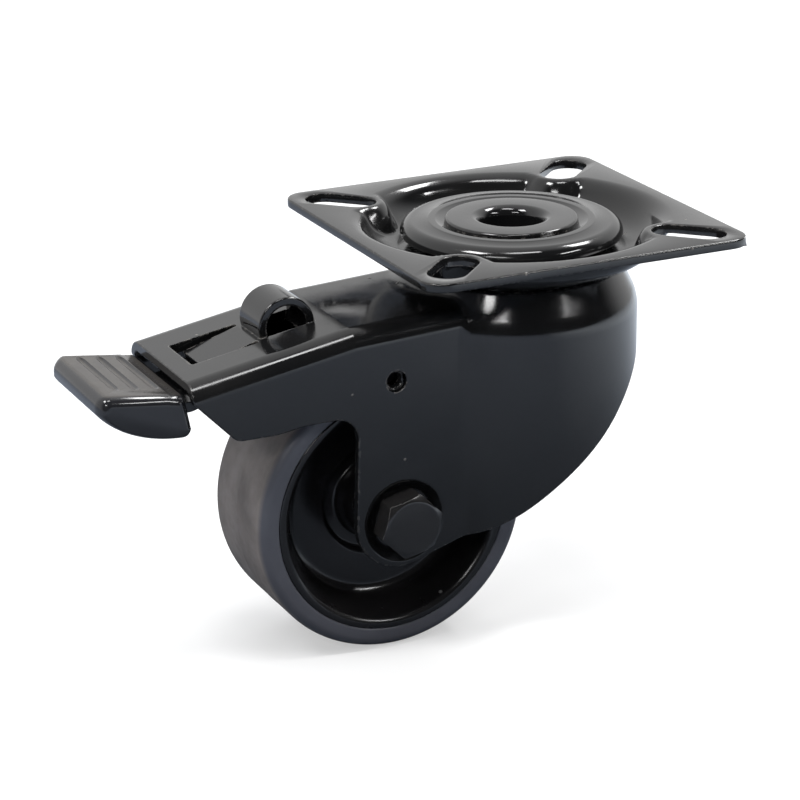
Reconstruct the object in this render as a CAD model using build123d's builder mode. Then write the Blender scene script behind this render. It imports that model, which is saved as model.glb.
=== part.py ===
from build123d import *

import math
import os

os.makedirs("parts", exist_ok=True)

# Swivel castor with a brake pedal, in millimetres.
# The origin is on the swivel axis, in the mounting face of the top plate.
# +Z points up to the furniture; the wheel and the pedal trail on the -X side.

# ---------------------------------------------------------------- driving dimensions
# Top plate: a square steel pressing with a bowl in the middle and four diagonal slots.
plate_side = 60.0
plate_sheet = 1.6
plate_corner_r = 4.0
plate_edge_r = 0.3  # left round by tumbling and painting
slot_spacing = 44.0  # between the centres of neighbouring slots
slot_width = 6.5
slot_travel = 6.2  # how far a screw can shift along its slot
pad_r = 5.7  # flat round pad round the inner end of each slot
pad_edge_r = 1.8
bowl_depth = 5.2
bowl_floor_r = 19.4
bowl_arc_r = 6.2
bowl_lip_r = 3.2
plate_bore_r = 9.0
race_step = 0.7  # the bowl's floor is pressed up by this over the lower balls
race_step_in = 0.9  # inside the upper balls' circle
race_step_out = 1.3  # outside the lower balls' circle

# Swivel bearing: small balls above the plate, larger balls below it.
upper_ball_r = 1.5875
upper_ball_track_r = 12.2
upper_ball_z = -3.6
upper_ball_count = 23
lower_ball_r = 2.0
lower_ball_track_r = 15.4
lower_ball_z = -8.1
lower_ball_count = 23
ball_play = 0.08

# Race cap and the hollow kingpin rivet that hold the head together.
cap_sheet = 1.5
cap_r = 19.1
cap_rim_r = 2.1
cap_top_z = -0.5
cap_rim_bottom_z = -3.0
cap_ring_r = 14.6
cap_ring_width = 0.8
cap_ring_rise = 0.15
cap_seat_margin = 0.4  # the cap's sunk seat is this much larger than the rivet's flange
cap_neck_wall = 1.5
rivet_flange_r = 11.4
rivet_flange_thick = 0.8
rivet_top_z = -0.05
rivet_lip_r = 7.0
rivet_bore_r = 5.3
rivet_shank_r = 6.8
rivet_flare_r = 9.5
rivet_flare_thick = 1.5
rivet_edge_r = 0.45
rivet_fit = 0.05

# Fork: one steel pressing, a round head with a hood and two legs.
fork_sheet = 1.7
head_top_z = -9.1
head_r = 21.7
head_rim_r = 19.0
head_rim_z = -7.9
head_rim_chamfer = 0.3
race_wall_lean = 0.2  # the race's outer wall opens by this towards the rim
race_under_width = 1.2  # flat run under the race on each side of it
shoulder_r = 8.0
shoulder_angle = 25.8  # degrees from the vertical
hood_front_x = -64.6
hood_front_z = -16.35
hood_knee_x = -36.0
hood_knee_z = -11.4
hood_rear_x = -14.0
hood_rear_z = -10.2
hood_edge_r = 3.2
bend_r = 2.5  # where the legs run into the round head
bend_share = 0.275  # of the flat between the bend and the head's middle, which limits the bend
skirt_rear_z = -20.4
leg_boss_r = 8.1
leg_boss_shift_x = -0.6
leg_boss_shift_z = -0.1
leg_front_x = -35.5
leg_rear_sweep = (24.3, 3.4)  # from the axle to the leg's rear edge, along X and up
leg_under_sweep = (12.4, -4.3)  # from the axle to the leg's lower edge
hood_side_depth = 14.7  # from the knee down to the notch in front of the leg
hood_side_sag = 0.8
hood_notch_x = -45.5  # the notch rises to the leg from here
hood_low_front_x = -57.2
hood_lip_height = 2.9
cut_corner_r = (4.2, 6.0, 6.0, 2.5, 1.5)
cut_edge_r = 0.25  # the cut edges of the sheet are tumbled round
dimple_r = 7.2
dimple_floor_r = 5.6
dimple_depth = 1.3
dimple_edge_r = 0.9  # the dimple runs softly into the leg and into its floor
dimple_spread = 0.7  # the bump inside is this much wider than the dimple outside

# Loop and tongue lanced out of the hood's top.
loop_x = -43.85
loop_z = -12.1
loop_r = 5.0
loop_sheet = 1.5
loop_half_width = 4.3
loop_edge_r = 0.35
window_front_x = -61.2
window_rear_x = -49.3
window_half_width = 5.3
window_corner_r = 0.4
tongue_tip_x = -59.0
tongue_drop = 1.3  # how far the tip hangs below the hood's surface

# Wheel.
wheel_r = 24.6
wheel_top_z = -21.4
trail = 27.4
tyre_half_width = 10.2
tyre_crown_half_width = 9.0
tyre_thickness = 3.45
hub_rim_wall = 2.0
hub_rim_taper = 2.15  # the rim's inside slopes by this down to the web
hub_web_half = 2.7
hub_recess_r = 9.6
hub_recess_half = 1.2
hub_barrel_r = 6.7
hub_barrel_overhang = 1.0  # past the tyre's side
hub_draft = 0.4
hub_edge = 0.5
tyre_key_height = 1.4
tyre_key_half_width = 4.5
tyre_seam_height = 0.06
tyre_shoulder_height = 1.4
tyre_side_bulge = 0.12
hub_side_gap = 0.1

# Axle.
axle_bolt_r = 3.0
axle_bolt_length = 35.0
bolt_head_flats = 10.0
bolt_head_height = 4.3
bolt_head_turn = 14.8  # degrees
bolt_crown_r = 4.7
bolt_washer_face = 0.6
bolt_washer_face_r = 4.8
bolt_crown_angle = 60.0  # of the turned-off corners, from the axis
bolt_end_chamfer = 0.6
sleeve_r = 4.5
sleeve_bore_play = 0.05
sleeve_running_fit = 0.06
nut_height = 6.0
nut_collar_height = 1.8
insert_height = 1.2
insert_r = 4.0

# Brake lever, shoe and pedal.
pivot_x = -28.7
pivot_z = -21.0
pivot_hole_r = 1.85
pivot_stud_r = 1.77
pivot_stud_recess = 0.7  # how far the stud stops inside the leg's outer face
lever_sheet = 1.8
lever_ear_sheet = 1.4
lever_side_gap = 0.4
lever_tang_z = -21.0
lever_tang_front_x = -76.0
lever_tang_half_width = 8.0
lever_foot_x = -62.5
lever_rise_x = -56.5
lever_rise_z = -18.9
lever_rear_x = -22.0
lever_rear_z = -16.4
lever_ear_r = 3.5
lever_ear_spread = 2.0  # the ears widen by this towards the web
lever_bend_r = 4.0
lever_shoulder_x = -55.0  # the tang widens to the web here
shoe_sheet = 1.0
shoe_half_width = 7.0
shoe_rear_x = -26.0
shoe_bend_x = -37.0
shoe_tip_angle = 135.0
shoe_lift = 2.35  # between the shoe and the tread with the brake off
shoe_rivet_x = -31.0
shoe_rivet_y = 4.0
shoe_rivet_r = 1.5
shoe_rivet_head_r = 2.6
shoe_rivet_head = 0.8
pedal_side_gap = 0.6
pedal_front_x = -79.7
pedal_top_front_z = -16.6
pedal_front_height = 3.0
pedal_nose_r = 1.9
pedal_ridge_step = 0.4
pedal_slope = 0.125
pedal_groove_pitch = 3.4
pedal_groove_count = 3
pedal_groove_first_x = -75.1
pedal_groove_depth = 0.3
pedal_groove_r = 0.9
pedal_groove_margin = 2.4
pedal_corner_r = 2.0
pedal_socket_play = 0.2
pedal_ridge_x = -67.4
pedal_rear_x = -64.7
pedal_rear_top_z = -20.4
pedal_heel_x = -63.6
pedal_bottom_z = -25.75

# ---------------------------------------------------------------- worked-out sizes
axle_x = -trail
axle_z = wheel_top_z - wheel_r
barrel_half = tyre_half_width + hub_barrel_overhang
leg_seat_y = barrel_half + hub_side_gap  # inner face of the dimple, on which the sleeve bears
leg_inner_y = leg_seat_y + dimple_depth
leg_outer_y = leg_inner_y + fork_sheet
dimple_floor_y = leg_outer_y - dimple_depth
head_inner_r = head_r - fork_sheet
lever_half_width = leg_inner_y - lever_side_gap
pedal_half_width = leg_inner_y - pedal_side_gap
below_all = axle_z - leg_boss_r - 2.0
sharp_corner = 40.0  # degrees between two faces that meet at a corner


def hood_top(x):
    """Height of the hood's outer surface at x."""
    if x < hood_knee_x:
        slope = (hood_knee_z - hood_front_z) / (hood_knee_x - hood_front_x)
    else:
        slope = (hood_rear_z - hood_knee_z) / (hood_rear_x - hood_knee_x)
    return hood_knee_z + slope * (x - hood_knee_x)


def lever_web_z(x):
    """Height of the middle of the lever's web at x."""
    share = (x - lever_rise_x) / (lever_rear_x - lever_rise_x)
    return lever_rise_z + share * (lever_rear_z - lever_rise_z) - lever_sheet / 2


def groove_half_width(radius, depth):
    """Half the width of a ball groove of this radius, at this distance from its centre."""
    return math.sqrt(radius**2 - depth**2)


def sharp_edges(part):
    """The edges where two faces meet at a real corner and don't run on smoothly."""
    faces = part.faces()
    found = ShapeList()
    for edge in part.edges():
        middle = edge.position_at(0.5)
        normals = [face.normal_at(middle) for face in faces if edge in face.edges()]
        if len(normals) == 2 and normals[0].get_angle(normals[1]) > sharp_corner:
            found.append(edge)
    return found


# ---------------------------------------------------------------- top plate
upper_race_r = upper_ball_r + ball_play
lower_race_r = lower_ball_r + ball_play
race_top_z = -bowl_depth + race_step
bowl_centre_z = bowl_arc_r - bowl_depth
lip_span = bowl_arc_r + bowl_lip_r
lip_height = bowl_centre_z + bowl_lip_r
lip_centre_r = bowl_floor_r + math.sqrt(lip_span**2 - lip_height**2)


def towards_lip(distance):
    """Point at this distance from the bowl arc's centre, on the line to the lip arc's centre."""
    share = distance / lip_span
    return (bowl_floor_r + share * (lip_centre_r - bowl_floor_r), bowl_centre_z - share * lip_height)


def on_bowl_arc(radius, degrees):
    """Point on an arc round the bowl arc's centre; 0 degrees is straight down."""
    turn = math.radians(degrees)
    return (bowl_floor_r + radius * math.sin(turn), bowl_centre_z - radius * math.cos(turn))


def on_lip_arc(radius):
    """Middle point of an arc round the lip arc's centre."""
    turn = math.radians(35.0)
    return (lip_centre_r - radius * math.sin(turn), -bowl_lip_r + radius * math.cos(turn))


upper_groove_half = groove_half_width(upper_race_r, upper_ball_z - race_top_z)
bowl_under_z = -bowl_depth - plate_sheet
lower_groove_half = groove_half_width(lower_race_r, bowl_under_z - lower_ball_z)
bowl_under_arc_r = bowl_arc_r + plate_sheet
lip_under_r = bowl_lip_r - plate_sheet
step_out_r = lower_ball_track_r + race_step_out
step_in_r = upper_ball_track_r - race_step_in
slot_centre_r = slot_spacing / math.sqrt(2.0)
pad_centre_r = slot_centre_r - slot_travel / 2

with BuildPart() as bowl_envelope:
    # Everything above the bowl's underside, to trim the slot pads with.
    with BuildSketch(Plane.XZ):
        with BuildLine():
            Polyline((0, 0), (0, bowl_under_z), (bowl_floor_r, bowl_under_z))
            ThreePointArc(
                (bowl_floor_r, bowl_under_z),
                on_bowl_arc(bowl_under_arc_r, 35.0),
                towards_lip(bowl_under_arc_r),
            )
            Polyline(towards_lip(bowl_under_arc_r), (lip_centre_r, -plate_sheet), (lip_centre_r, 0), (0, 0))
        make_face()
    revolve(axis=Axis.Z)

with BuildPart() as slot_pads:
    # Round pads that stand in the bowl's wall and carry the inner ends of the slots.
    with BuildSketch(Plane.XY):
        with PolarLocations(pad_centre_r, 4, start_angle=45.0):
            Circle(pad_r)
    extrude(amount=bowl_under_z)
    fillet(slot_pads.faces().sort_by(Axis.Z)[-4:].edges(), pad_edge_r)
    add(bowl_envelope.part, mode=Mode.INTERSECT)

with BuildPart() as top_plate:
    # Flat flange with the bowl's opening.
    with BuildSketch(Plane.XY):
        RectangleRounded(plate_side, plate_side, plate_corner_r)
        Circle(lip_centre_r, mode=Mode.SUBTRACT)
    extrude(amount=-plate_sheet)
    # Bowl, with the upper race on its floor and the lower race under it.
    with BuildSketch(Plane.XZ):
        with BuildLine():
            Line((plate_bore_r, race_top_z), (upper_ball_track_r - upper_groove_half, race_top_z))
            ThreePointArc(
                (upper_ball_track_r - upper_groove_half, race_top_z),
                (upper_ball_track_r, upper_ball_z - upper_race_r),
                (upper_ball_track_r + upper_groove_half, race_top_z),
            )
            Polyline(
                (upper_ball_track_r + upper_groove_half, race_top_z),
                (step_out_r, race_top_z),
                (bowl_floor_r, -bowl_depth),
            )
            ThreePointArc((bowl_floor_r, -bowl_depth), on_bowl_arc(bowl_arc_r, 35.0), towards_lip(bowl_arc_r))
            ThreePointArc(towards_lip(bowl_arc_r), on_lip_arc(bowl_lip_r), (lip_centre_r, 0))
            Line((lip_centre_r, 0), (lip_centre_r, -plate_sheet))
            ThreePointArc(
                (lip_centre_r, -plate_sheet), on_lip_arc(lip_under_r), towards_lip(bowl_under_arc_r)
            )
            ThreePointArc(
                towards_lip(bowl_under_arc_r),
                on_bowl_arc(bowl_under_arc_r, 35.0),
                (bowl_floor_r, bowl_under_z),
            )
            Line((bowl_floor_r, bowl_under_z), (lower_ball_track_r + lower_groove_half, bowl_under_z))
            ThreePointArc(
                (lower_ball_track_r + lower_groove_half, bowl_under_z),
                (lower_ball_track_r, lower_ball_z + lower_race_r),
                (lower_ball_track_r - lower_groove_half, bowl_under_z),
            )
            Polyline(
                (lower_ball_track_r - lower_groove_half, bowl_under_z),
                (step_in_r, bowl_under_z),
                (step_in_r - race_step, bowl_under_z + race_step),
                (plate_bore_r, bowl_under_z + race_step),
                (plate_bore_r, race_top_z),
            )
        make_face()
    revolve(axis=Axis.Z)
    add(slot_pads.part)
    # The pads are pressed too, so they are hollow underneath.
    with BuildSketch(Plane.XY.offset(-plate_sheet)):
        with PolarLocations(pad_centre_r, 4, start_angle=45.0):
            Circle(pad_r - plate_sheet)
    extrude(amount=bowl_under_z, mode=Mode.SUBTRACT)
    with BuildSketch(Plane.XY):
        with PolarLocations(slot_centre_r, 4, start_angle=45.0):
            SlotCenterToCenter(slot_travel, slot_width)
    extrude(amount=bowl_under_z, mode=Mode.SUBTRACT)
    fillet(sharp_edges(top_plate).filter_by(lambda edge: edge.center().Z > -plate_edge_r), plate_edge_r)
top_plate.part.label = "top_plate"

# ---------------------------------------------------------------- swivel balls
with BuildPart() as upper_balls:
    with Locations((0, 0, upper_ball_z)):
        with PolarLocations(upper_ball_track_r, upper_ball_count):
            Sphere(upper_ball_r)
upper_balls.part.label = "upper_balls"

with BuildPart() as lower_balls:
    with Locations((0, 0, lower_ball_z)):
        with PolarLocations(lower_ball_track_r, lower_ball_count):
            Sphere(lower_ball_r)
lower_balls.part.label = "lower_balls"

# ---------------------------------------------------------------- race cap
flange_seat_z = rivet_top_z - rivet_flange_thick
cap_bore_r = rivet_shank_r + rivet_fit
cap_neck_r = cap_bore_r + cap_neck_wall
cap_under_z = cap_top_z - cap_sheet
cap_seat_under_z = flange_seat_z - cap_sheet
cap_rim_inner_r = cap_rim_r - cap_sheet
cap_groove_half = groove_half_width(upper_race_r, cap_under_z - upper_ball_z)
cap_seat_groove_half = groove_half_width(upper_race_r, cap_seat_under_z - upper_ball_z)
diagonal = math.sqrt(0.5)

with BuildPart() as race_cap:
    with BuildSketch(Plane.XZ):
        with BuildLine():
            Polyline(
                (cap_bore_r, flange_seat_z),
                (rivet_flange_r + cap_seat_margin, flange_seat_z),
                (cap_ring_r - cap_ring_width, cap_top_z + cap_ring_rise),
                (cap_ring_r, cap_top_z + cap_ring_rise),
                (cap_r - cap_rim_r, cap_top_z),
            )
            ThreePointArc(
                (cap_r - cap_rim_r, cap_top_z),
                (cap_r - cap_rim_r * (1 - diagonal), cap_top_z - cap_rim_r * (1 - diagonal)),
                (cap_r, cap_top_z - cap_rim_r),
            )
            Polyline(
                (cap_r, cap_top_z - cap_rim_r),
                (cap_r, cap_rim_bottom_z),
                (cap_r - cap_sheet, cap_rim_bottom_z),
                (cap_r - cap_sheet, cap_top_z - cap_rim_r),
            )
            ThreePointArc(
                (cap_r - cap_sheet, cap_top_z - cap_rim_r),
                (
                    cap_r - cap_rim_r + cap_rim_inner_r * diagonal,
                    cap_top_z - cap_rim_r + cap_rim_inner_r * diagonal,
                ),
                (cap_r - cap_rim_r, cap_under_z),
            )
            Line((cap_r - cap_rim_r, cap_under_z), (upper_ball_track_r + cap_groove_half, cap_under_z))
            ThreePointArc(
                (upper_ball_track_r + cap_groove_half, cap_under_z),
                (upper_ball_track_r, upper_ball_z + upper_race_r),
                (upper_ball_track_r - cap_seat_groove_half, cap_seat_under_z),
            )
            Polyline(
                (upper_ball_track_r - cap_seat_groove_half, cap_seat_under_z),
                (cap_neck_r, cap_seat_under_z),
                (cap_neck_r, head_top_z),
                (cap_bore_r, head_top_z),
                (cap_bore_r, flange_seat_z),
            )
        make_face()
    revolve(axis=Axis.Z)
race_cap.part.label = "race_cap"

# ---------------------------------------------------------------- kingpin rivet
head_under_z = head_top_z - fork_sheet
rivet_bottom_z = head_under_z - rivet_flare_thick
rivet_funnel_r = rivet_lip_r - rivet_bore_r

with BuildPart() as kingpin_rivet:
    with BuildSketch(Plane.XZ):
        with BuildLine():
            ThreePointArc(
                (rivet_bore_r, rivet_top_z - rivet_funnel_r),
                (
                    rivet_lip_r - rivet_funnel_r * diagonal,
                    rivet_top_z - rivet_funnel_r * (1 - diagonal),
                ),
                (rivet_lip_r, rivet_top_z),
            )
            Line((rivet_lip_r, rivet_top_z), (rivet_flange_r - rivet_edge_r, rivet_top_z))
            ThreePointArc(
                (rivet_flange_r - rivet_edge_r, rivet_top_z),
                (
                    rivet_flange_r - rivet_edge_r * (1 - diagonal),
                    rivet_top_z - rivet_edge_r * (1 - diagonal),
                ),
                (rivet_flange_r, rivet_top_z - rivet_edge_r),
            )
            Polyline(
                (rivet_flange_r, rivet_top_z - rivet_edge_r),
                (rivet_flange_r, flange_seat_z),
                (rivet_shank_r, flange_seat_z),
                (rivet_shank_r, head_under_z),
                (rivet_flare_r, head_under_z),
                (rivet_flare_r - rivet_edge_r, rivet_bottom_z),
                (rivet_lip_r, rivet_bottom_z),
            )
            ThreePointArc(
                (rivet_lip_r, rivet_bottom_z),
                (
                    rivet_lip_r - rivet_funnel_r * diagonal,
                    rivet_bottom_z + rivet_funnel_r * (1 - diagonal),
                ),
                (rivet_bore_r, rivet_bottom_z + rivet_funnel_r),
            )
            Line((rivet_bore_r, rivet_bottom_z + rivet_funnel_r), (rivet_bore_r, rivet_top_z - rivet_funnel_r))
        make_face()
    revolve(axis=Axis.Z)
kingpin_rivet.part.label = "kingpin_rivet"

# ---------------------------------------------------------------- fork
# The pressing is an outside form less an inside form one sheet smaller, trimmed to the
# outline that is cut from the blank.
lean = math.radians(shoulder_angle)
shoulder_centre_r = head_r - shoulder_r
shoulder_drop = (head_r - shoulder_r * (1 - math.cos(lean)) - head_rim_r) / math.tan(lean)
shoulder_z = head_rim_z - head_rim_chamfer - shoulder_drop
shoulder_centre_z = shoulder_z - shoulder_r * math.sin(lean)
head_groove_half = groove_half_width(lower_race_r, lower_ball_z - head_top_z)
rim_groove_r = lower_ball_track_r + lower_race_r
groove_under_z = lower_ball_z - lower_race_r - fork_sheet
inner_shoulder_r = shoulder_r - fork_sheet
rim_under_z = (head_rim_z + groove_under_z) / 2 - fork_sheet / 4
hood_knee_inner_z = hood_knee_z - fork_sheet


def on_shoulder(radius, share):
    """Point on an arc round the shoulder's centre, from the vertical wall (0) to the cone (1)."""
    return (
        shoulder_centre_r + radius * math.cos(lean * share),
        shoulder_centre_z + radius * math.sin(lean * share),
    )


def cone_inner_r(z):
    """Inner radius of the conical wall under the rim, at height z."""
    start = on_shoulder(inner_shoulder_r, 1.0)
    return start[0] - (z - start[1]) * math.tan(lean)


def long_hood_edges(part, side_y):
    """The hood's edges along both sides, where its top turns down into them."""
    return part.edges().filter_by(
        lambda edge: abs(abs(edge.center().Y) - side_y) < 0.01 and abs(edge.tangent_at(0.5).Z) < 0.5
    ).filter_by(lambda edge: edge.center().Z > hood_front_z - 2 * fork_sheet)


def bend_room(part_r, side_y):
    """Largest bend that the leg plane leaves between the round head and its middle."""
    return bend_share * math.sqrt(part_r**2 - side_y**2)


def bend_edges(part, side_y):
    """The upright edges where the flat legs run into the round head."""
    return part.edges().filter_by(
        lambda edge: abs(abs(edge.center().Y) - side_y) < 0.01 and abs(edge.tangent_at(0.5).Z) > 0.9
    ).filter_by(lambda edge: -head_r < edge.center().X < 0)


with BuildPart() as fork_outside:
    with BuildSketch(Plane.XZ):
        Polygon(
            (hood_front_x, below_all),
            (hood_front_x, hood_front_z),
            (hood_knee_x, hood_knee_z),
            (hood_rear_x, hood_rear_z),
            (0, hood_rear_z),
            (0, below_all),
            align=None,
        )
    extrude(amount=leg_outer_y, both=True)
    fillet(long_hood_edges(fork_outside, leg_outer_y), hood_edge_r)
    with BuildSketch(Plane.XZ):
        with BuildLine():
            Line((0, head_top_z), (lower_ball_track_r - head_groove_half, head_top_z))
            ThreePointArc(
                (lower_ball_track_r - head_groove_half, head_top_z),
                (lower_ball_track_r, lower_ball_z - lower_race_r),
                (rim_groove_r, lower_ball_z),
            )
            Polyline(
                (rim_groove_r, lower_ball_z),
                (rim_groove_r + race_wall_lean, head_rim_z),
                (head_rim_r - head_rim_chamfer, head_rim_z),
                (head_rim_r, head_rim_z - head_rim_chamfer),
                on_shoulder(shoulder_r, 1.0),
            )
            ThreePointArc(
                on_shoulder(shoulder_r, 1.0), on_shoulder(shoulder_r, 0.5), on_shoulder(shoulder_r, 0.0)
            )
            Polyline(
                on_shoulder(shoulder_r, 0.0), (head_r, below_all), (0, below_all), (0, head_top_z)
            )
        make_face()
    revolve(axis=Axis.Z)
    fillet(bend_edges(fork_outside, leg_outer_y), min(bend_r, bend_room(head_r, leg_outer_y)))

with BuildPart() as fork_inside:
    with BuildSketch(Plane.XZ):
        Polygon(
            (hood_front_x - 1.0, below_all),
            (hood_front_x - 1.0, hood_top(hood_front_x - 1.0) - fork_sheet),
            (hood_knee_x, hood_knee_inner_z),
            (hood_rear_x, hood_rear_z - fork_sheet),
            (0, hood_rear_z - fork_sheet),
            (0, below_all),
            align=None,
        )
    extrude(amount=leg_inner_y, both=True)
    fillet(long_hood_edges(fork_inside, leg_inner_y), hood_edge_r - fork_sheet)
    with BuildSketch(Plane.XZ):
        with BuildLine():
            Polyline(
                (0, head_under_z),
                (lower_ball_track_r - head_groove_half - race_under_width, head_under_z),
                (lower_ball_track_r - head_groove_half - race_wall_lean, groove_under_z),
                (lower_ball_track_r + race_under_width, groove_under_z),
                (rim_groove_r - race_wall_lean, rim_under_z),
                (cone_inner_r(rim_under_z), rim_under_z),
                on_shoulder(inner_shoulder_r, 1.0),
            )
            ThreePointArc(
                on_shoulder(inner_shoulder_r, 1.0),
                on_shoulder(inner_shoulder_r, 0.5),
                on_shoulder(inner_shoulder_r, 0.0),
            )
            Polyline(
                on_shoulder(inner_shoulder_r, 0.0), (head_inner_r, below_all), (0, below_all), (0, head_under_z)
            )
        make_face()
    revolve(axis=Axis.Z)
    fillet(
        bend_edges(fork_inside, leg_inner_y),
        min(bend_r + fork_sheet, bend_room(head_inner_r, leg_inner_y)),
    )

boss_x = axle_x + leg_boss_shift_x
boss_z = axle_z + leg_boss_shift_z
boss_exit = math.radians(-70.0)
boss_exit_point = (boss_x + leg_boss_r * math.cos(boss_exit), boss_z + leg_boss_r * math.sin(boss_exit))
notch_z = hood_knee_z - hood_side_depth
hood_low_z = notch_z - hood_side_sag

loop_inner_r = loop_r - loop_sheet
hood_under_window_z = hood_top(window_front_x) - 2 * fork_sheet
tongue_tip_z = hood_top(tongue_tip_x) - tongue_drop
tongue_slope = (hood_top(window_rear_x) - tongue_tip_z) / (window_rear_x - tongue_tip_x)

with BuildPart() as loop:
    # Half ring with rounded rims, whose feet stand in the hood's sheet.
    with BuildSketch(Plane.XZ):
        with Locations((loop_x, loop_z)):
            Circle(loop_r)
            Circle(loop_inner_r, mode=Mode.SUBTRACT)
        Polygon(
            (loop_x - loop_r, hood_top(loop_x - loop_r) - loop_sheet),
            (loop_x + loop_r, hood_top(loop_x + loop_r) - loop_sheet),
            (loop_x + loop_r, loop_z - loop_r),
            (loop_x - loop_r, loop_z - loop_r),
            align=None,
            mode=Mode.SUBTRACT,
        )
    extrude(amount=loop_half_width, both=True)
    fillet(loop.edges().filter_by(GeomType.CIRCLE), loop_edge_r)

with BuildPart() as fork:
    add(fork_outside.part)
    add(fork_inside.part, mode=Mode.SUBTRACT)
    # Outline of the cut edge, seen from the side.
    with BuildSketch(Plane.XZ):
        with BuildLine():
            Line((head_r + 2.0, 0), (head_r + 2.0, skirt_rear_z + 2.0))
            Line((head_r + 2.0, skirt_rear_z + 2.0), (head_r / 2, skirt_rear_z - head_r / 2))
            Spline(
                (head_r / 2, skirt_rear_z - head_r / 2),
                (axle_x + leg_rear_sweep[0], axle_z + leg_rear_sweep[1]),
                (axle_x + leg_under_sweep[0], axle_z + leg_under_sweep[1]),
                boss_exit_point,
                tangents=((-1, -1), (-math.cos(math.radians(20.0)), -math.sin(math.radians(20.0)))),
            )
            ThreePointArc(
                boss_exit_point,
                (boss_x - leg_boss_r * diagonal, boss_z - leg_boss_r * diagonal),
                (boss_x - leg_boss_r, boss_z),
            )
            FilletPolyline(
                (boss_x - leg_boss_r, boss_z),
                (leg_front_x, notch_z),
                (hood_notch_x, notch_z - 0.1),
                (hood_notch_x - 4.5, hood_low_z),
                (hood_low_front_x, hood_low_z),
                (hood_front_x, hood_front_z - hood_lip_height),
                (hood_front_x, 0),
                radius=cut_corner_r,
            )
            Line((hood_front_x, 0), (head_r + 2.0, 0))
        make_face()
    extrude(amount=head_r + 1.0, both=True, mode=Mode.INTERSECT)
    fillet(sharp_edges(fork).filter_by(lambda edge: edge.center().Z < hood_front_z + fork_sheet), cut_edge_r)
    # Dimples round the axle, pressed inwards on both legs.
    for side in (-1, 1):
        seat_plane = Plane.XZ.offset(-side * leg_inner_y)
        face_plane = Plane.XZ.offset(-side * leg_outer_y)
        with BuildSketch(seat_plane) as bump_foot:
            with Locations((axle_x, axle_z)):
                Circle(dimple_r + dimple_spread)
        with BuildSketch(Plane.XZ.offset(-side * leg_seat_y)) as bump_top:
            with Locations((axle_x, axle_z)):
                Circle(dimple_floor_r + dimple_spread)
        loft()
        with BuildSketch(face_plane):
            with Locations((axle_x, axle_z)):
                Circle(dimple_r)
        with BuildSketch(Plane.XZ.offset(-side * dimple_floor_y)):
            with Locations((axle_x, axle_z)):
                Circle(dimple_floor_r)
        loft(mode=Mode.SUBTRACT)
    fillet(
        fork.edges().filter_by(GeomType.CIRCLE).filter_by(
            lambda edge: min(abs(edge.radius - dimple_r), abs(edge.radius - dimple_floor_r)) < 0.01
        ),
        dimple_edge_r,
    )
    # Axle holes and the holes for the lever's studs, right through both legs.
    with BuildSketch(Plane.XZ):
        with Locations((axle_x, axle_z)):
            Circle(axle_bolt_r + sleeve_bore_play)
        with Locations((pivot_x, pivot_z)):
            Circle(pivot_hole_r)
    extrude(amount=leg_outer_y + 1.0, both=True, mode=Mode.SUBTRACT)
    # Kingpin hole in the head.
    with Locations((0, 0, head_top_z)):
        Hole(rivet_shank_r + rivet_fit, depth=fork_sheet * 2)
    # Window with its tongue, and the hole under the loop.
    with BuildSketch(Plane.XY.offset(hood_under_window_z)):
        with Locations(((window_front_x + window_rear_x) / 2, 0)):
            RectangleRounded(window_rear_x - window_front_x, 2 * window_half_width, window_corner_r)
        with Locations((loop_x, 0)):
            Rectangle(2 * loop_inner_r, 2 * loop_half_width)
    extrude(amount=hood_knee_z - hood_under_window_z, mode=Mode.SUBTRACT)
    with BuildSketch(Plane.XZ):
        Polygon(
            (window_rear_x + loop_sheet, hood_top(window_rear_x + loop_sheet)),
            (window_rear_x, hood_top(window_rear_x)),
            (tongue_tip_x, tongue_tip_z),
            (tongue_tip_x + tongue_slope * loop_sheet, tongue_tip_z - loop_sheet),
            (window_rear_x, hood_top(window_rear_x) - loop_sheet),
            (window_rear_x + loop_sheet, hood_top(window_rear_x + loop_sheet) - loop_sheet),
            align=None,
        )
    extrude(amount=loop_half_width, both=True)
    add(loop.part)
fork.part.label = "fork"

# ---------------------------------------------------------------- wheel
hub_bore_r = sleeve_r + sleeve_running_fit
hub_rim_r = wheel_r - tyre_thickness
hub_rim_inner_r = hub_rim_r - hub_rim_wall
hub_web_r = hub_rim_inner_r - hub_rim_taper
key_r = hub_rim_r + tyre_key_height
key_top_half_width = tyre_key_half_width - hub_edge
rim_taper_y = tyre_half_width - hub_draft
wheel_plane = Plane(origin=(axle_x, 0, axle_z), x_dir=(1, 0, 0), z_dir=(0, 0, 1))
wheel_axis = Axis((axle_x, 0, axle_z), (0, 1, 0))

with BuildPart() as wheel_hub:
    # Half section in the plane through the axle: x is the radius, y runs along the axle.
    with BuildSketch(wheel_plane):
        with BuildLine():
            hub_line = Polyline(
                (hub_bore_r, 0),
                (hub_bore_r, barrel_half),
                (hub_barrel_r - hub_edge, barrel_half),
                (hub_barrel_r, barrel_half - hub_edge),
                (hub_barrel_r + hub_draft, hub_recess_half),
                (hub_recess_r - hub_draft / 2, hub_recess_half),
                (hub_recess_r, hub_web_half),
                (hub_web_r, hub_web_half),
                (hub_rim_inner_r, rim_taper_y),
                (hub_rim_inner_r + hub_draft, tyre_half_width),
                (hub_rim_r, tyre_half_width),
                (hub_rim_r, tyre_key_half_width),
                (key_r, key_top_half_width),
                (key_r, 0),
            )
            mirror(hub_line, about=Plane.XZ)
        make_face()
    revolve(axis=wheel_axis)
wheel_hub.part.label = "wheel_hub"

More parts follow.
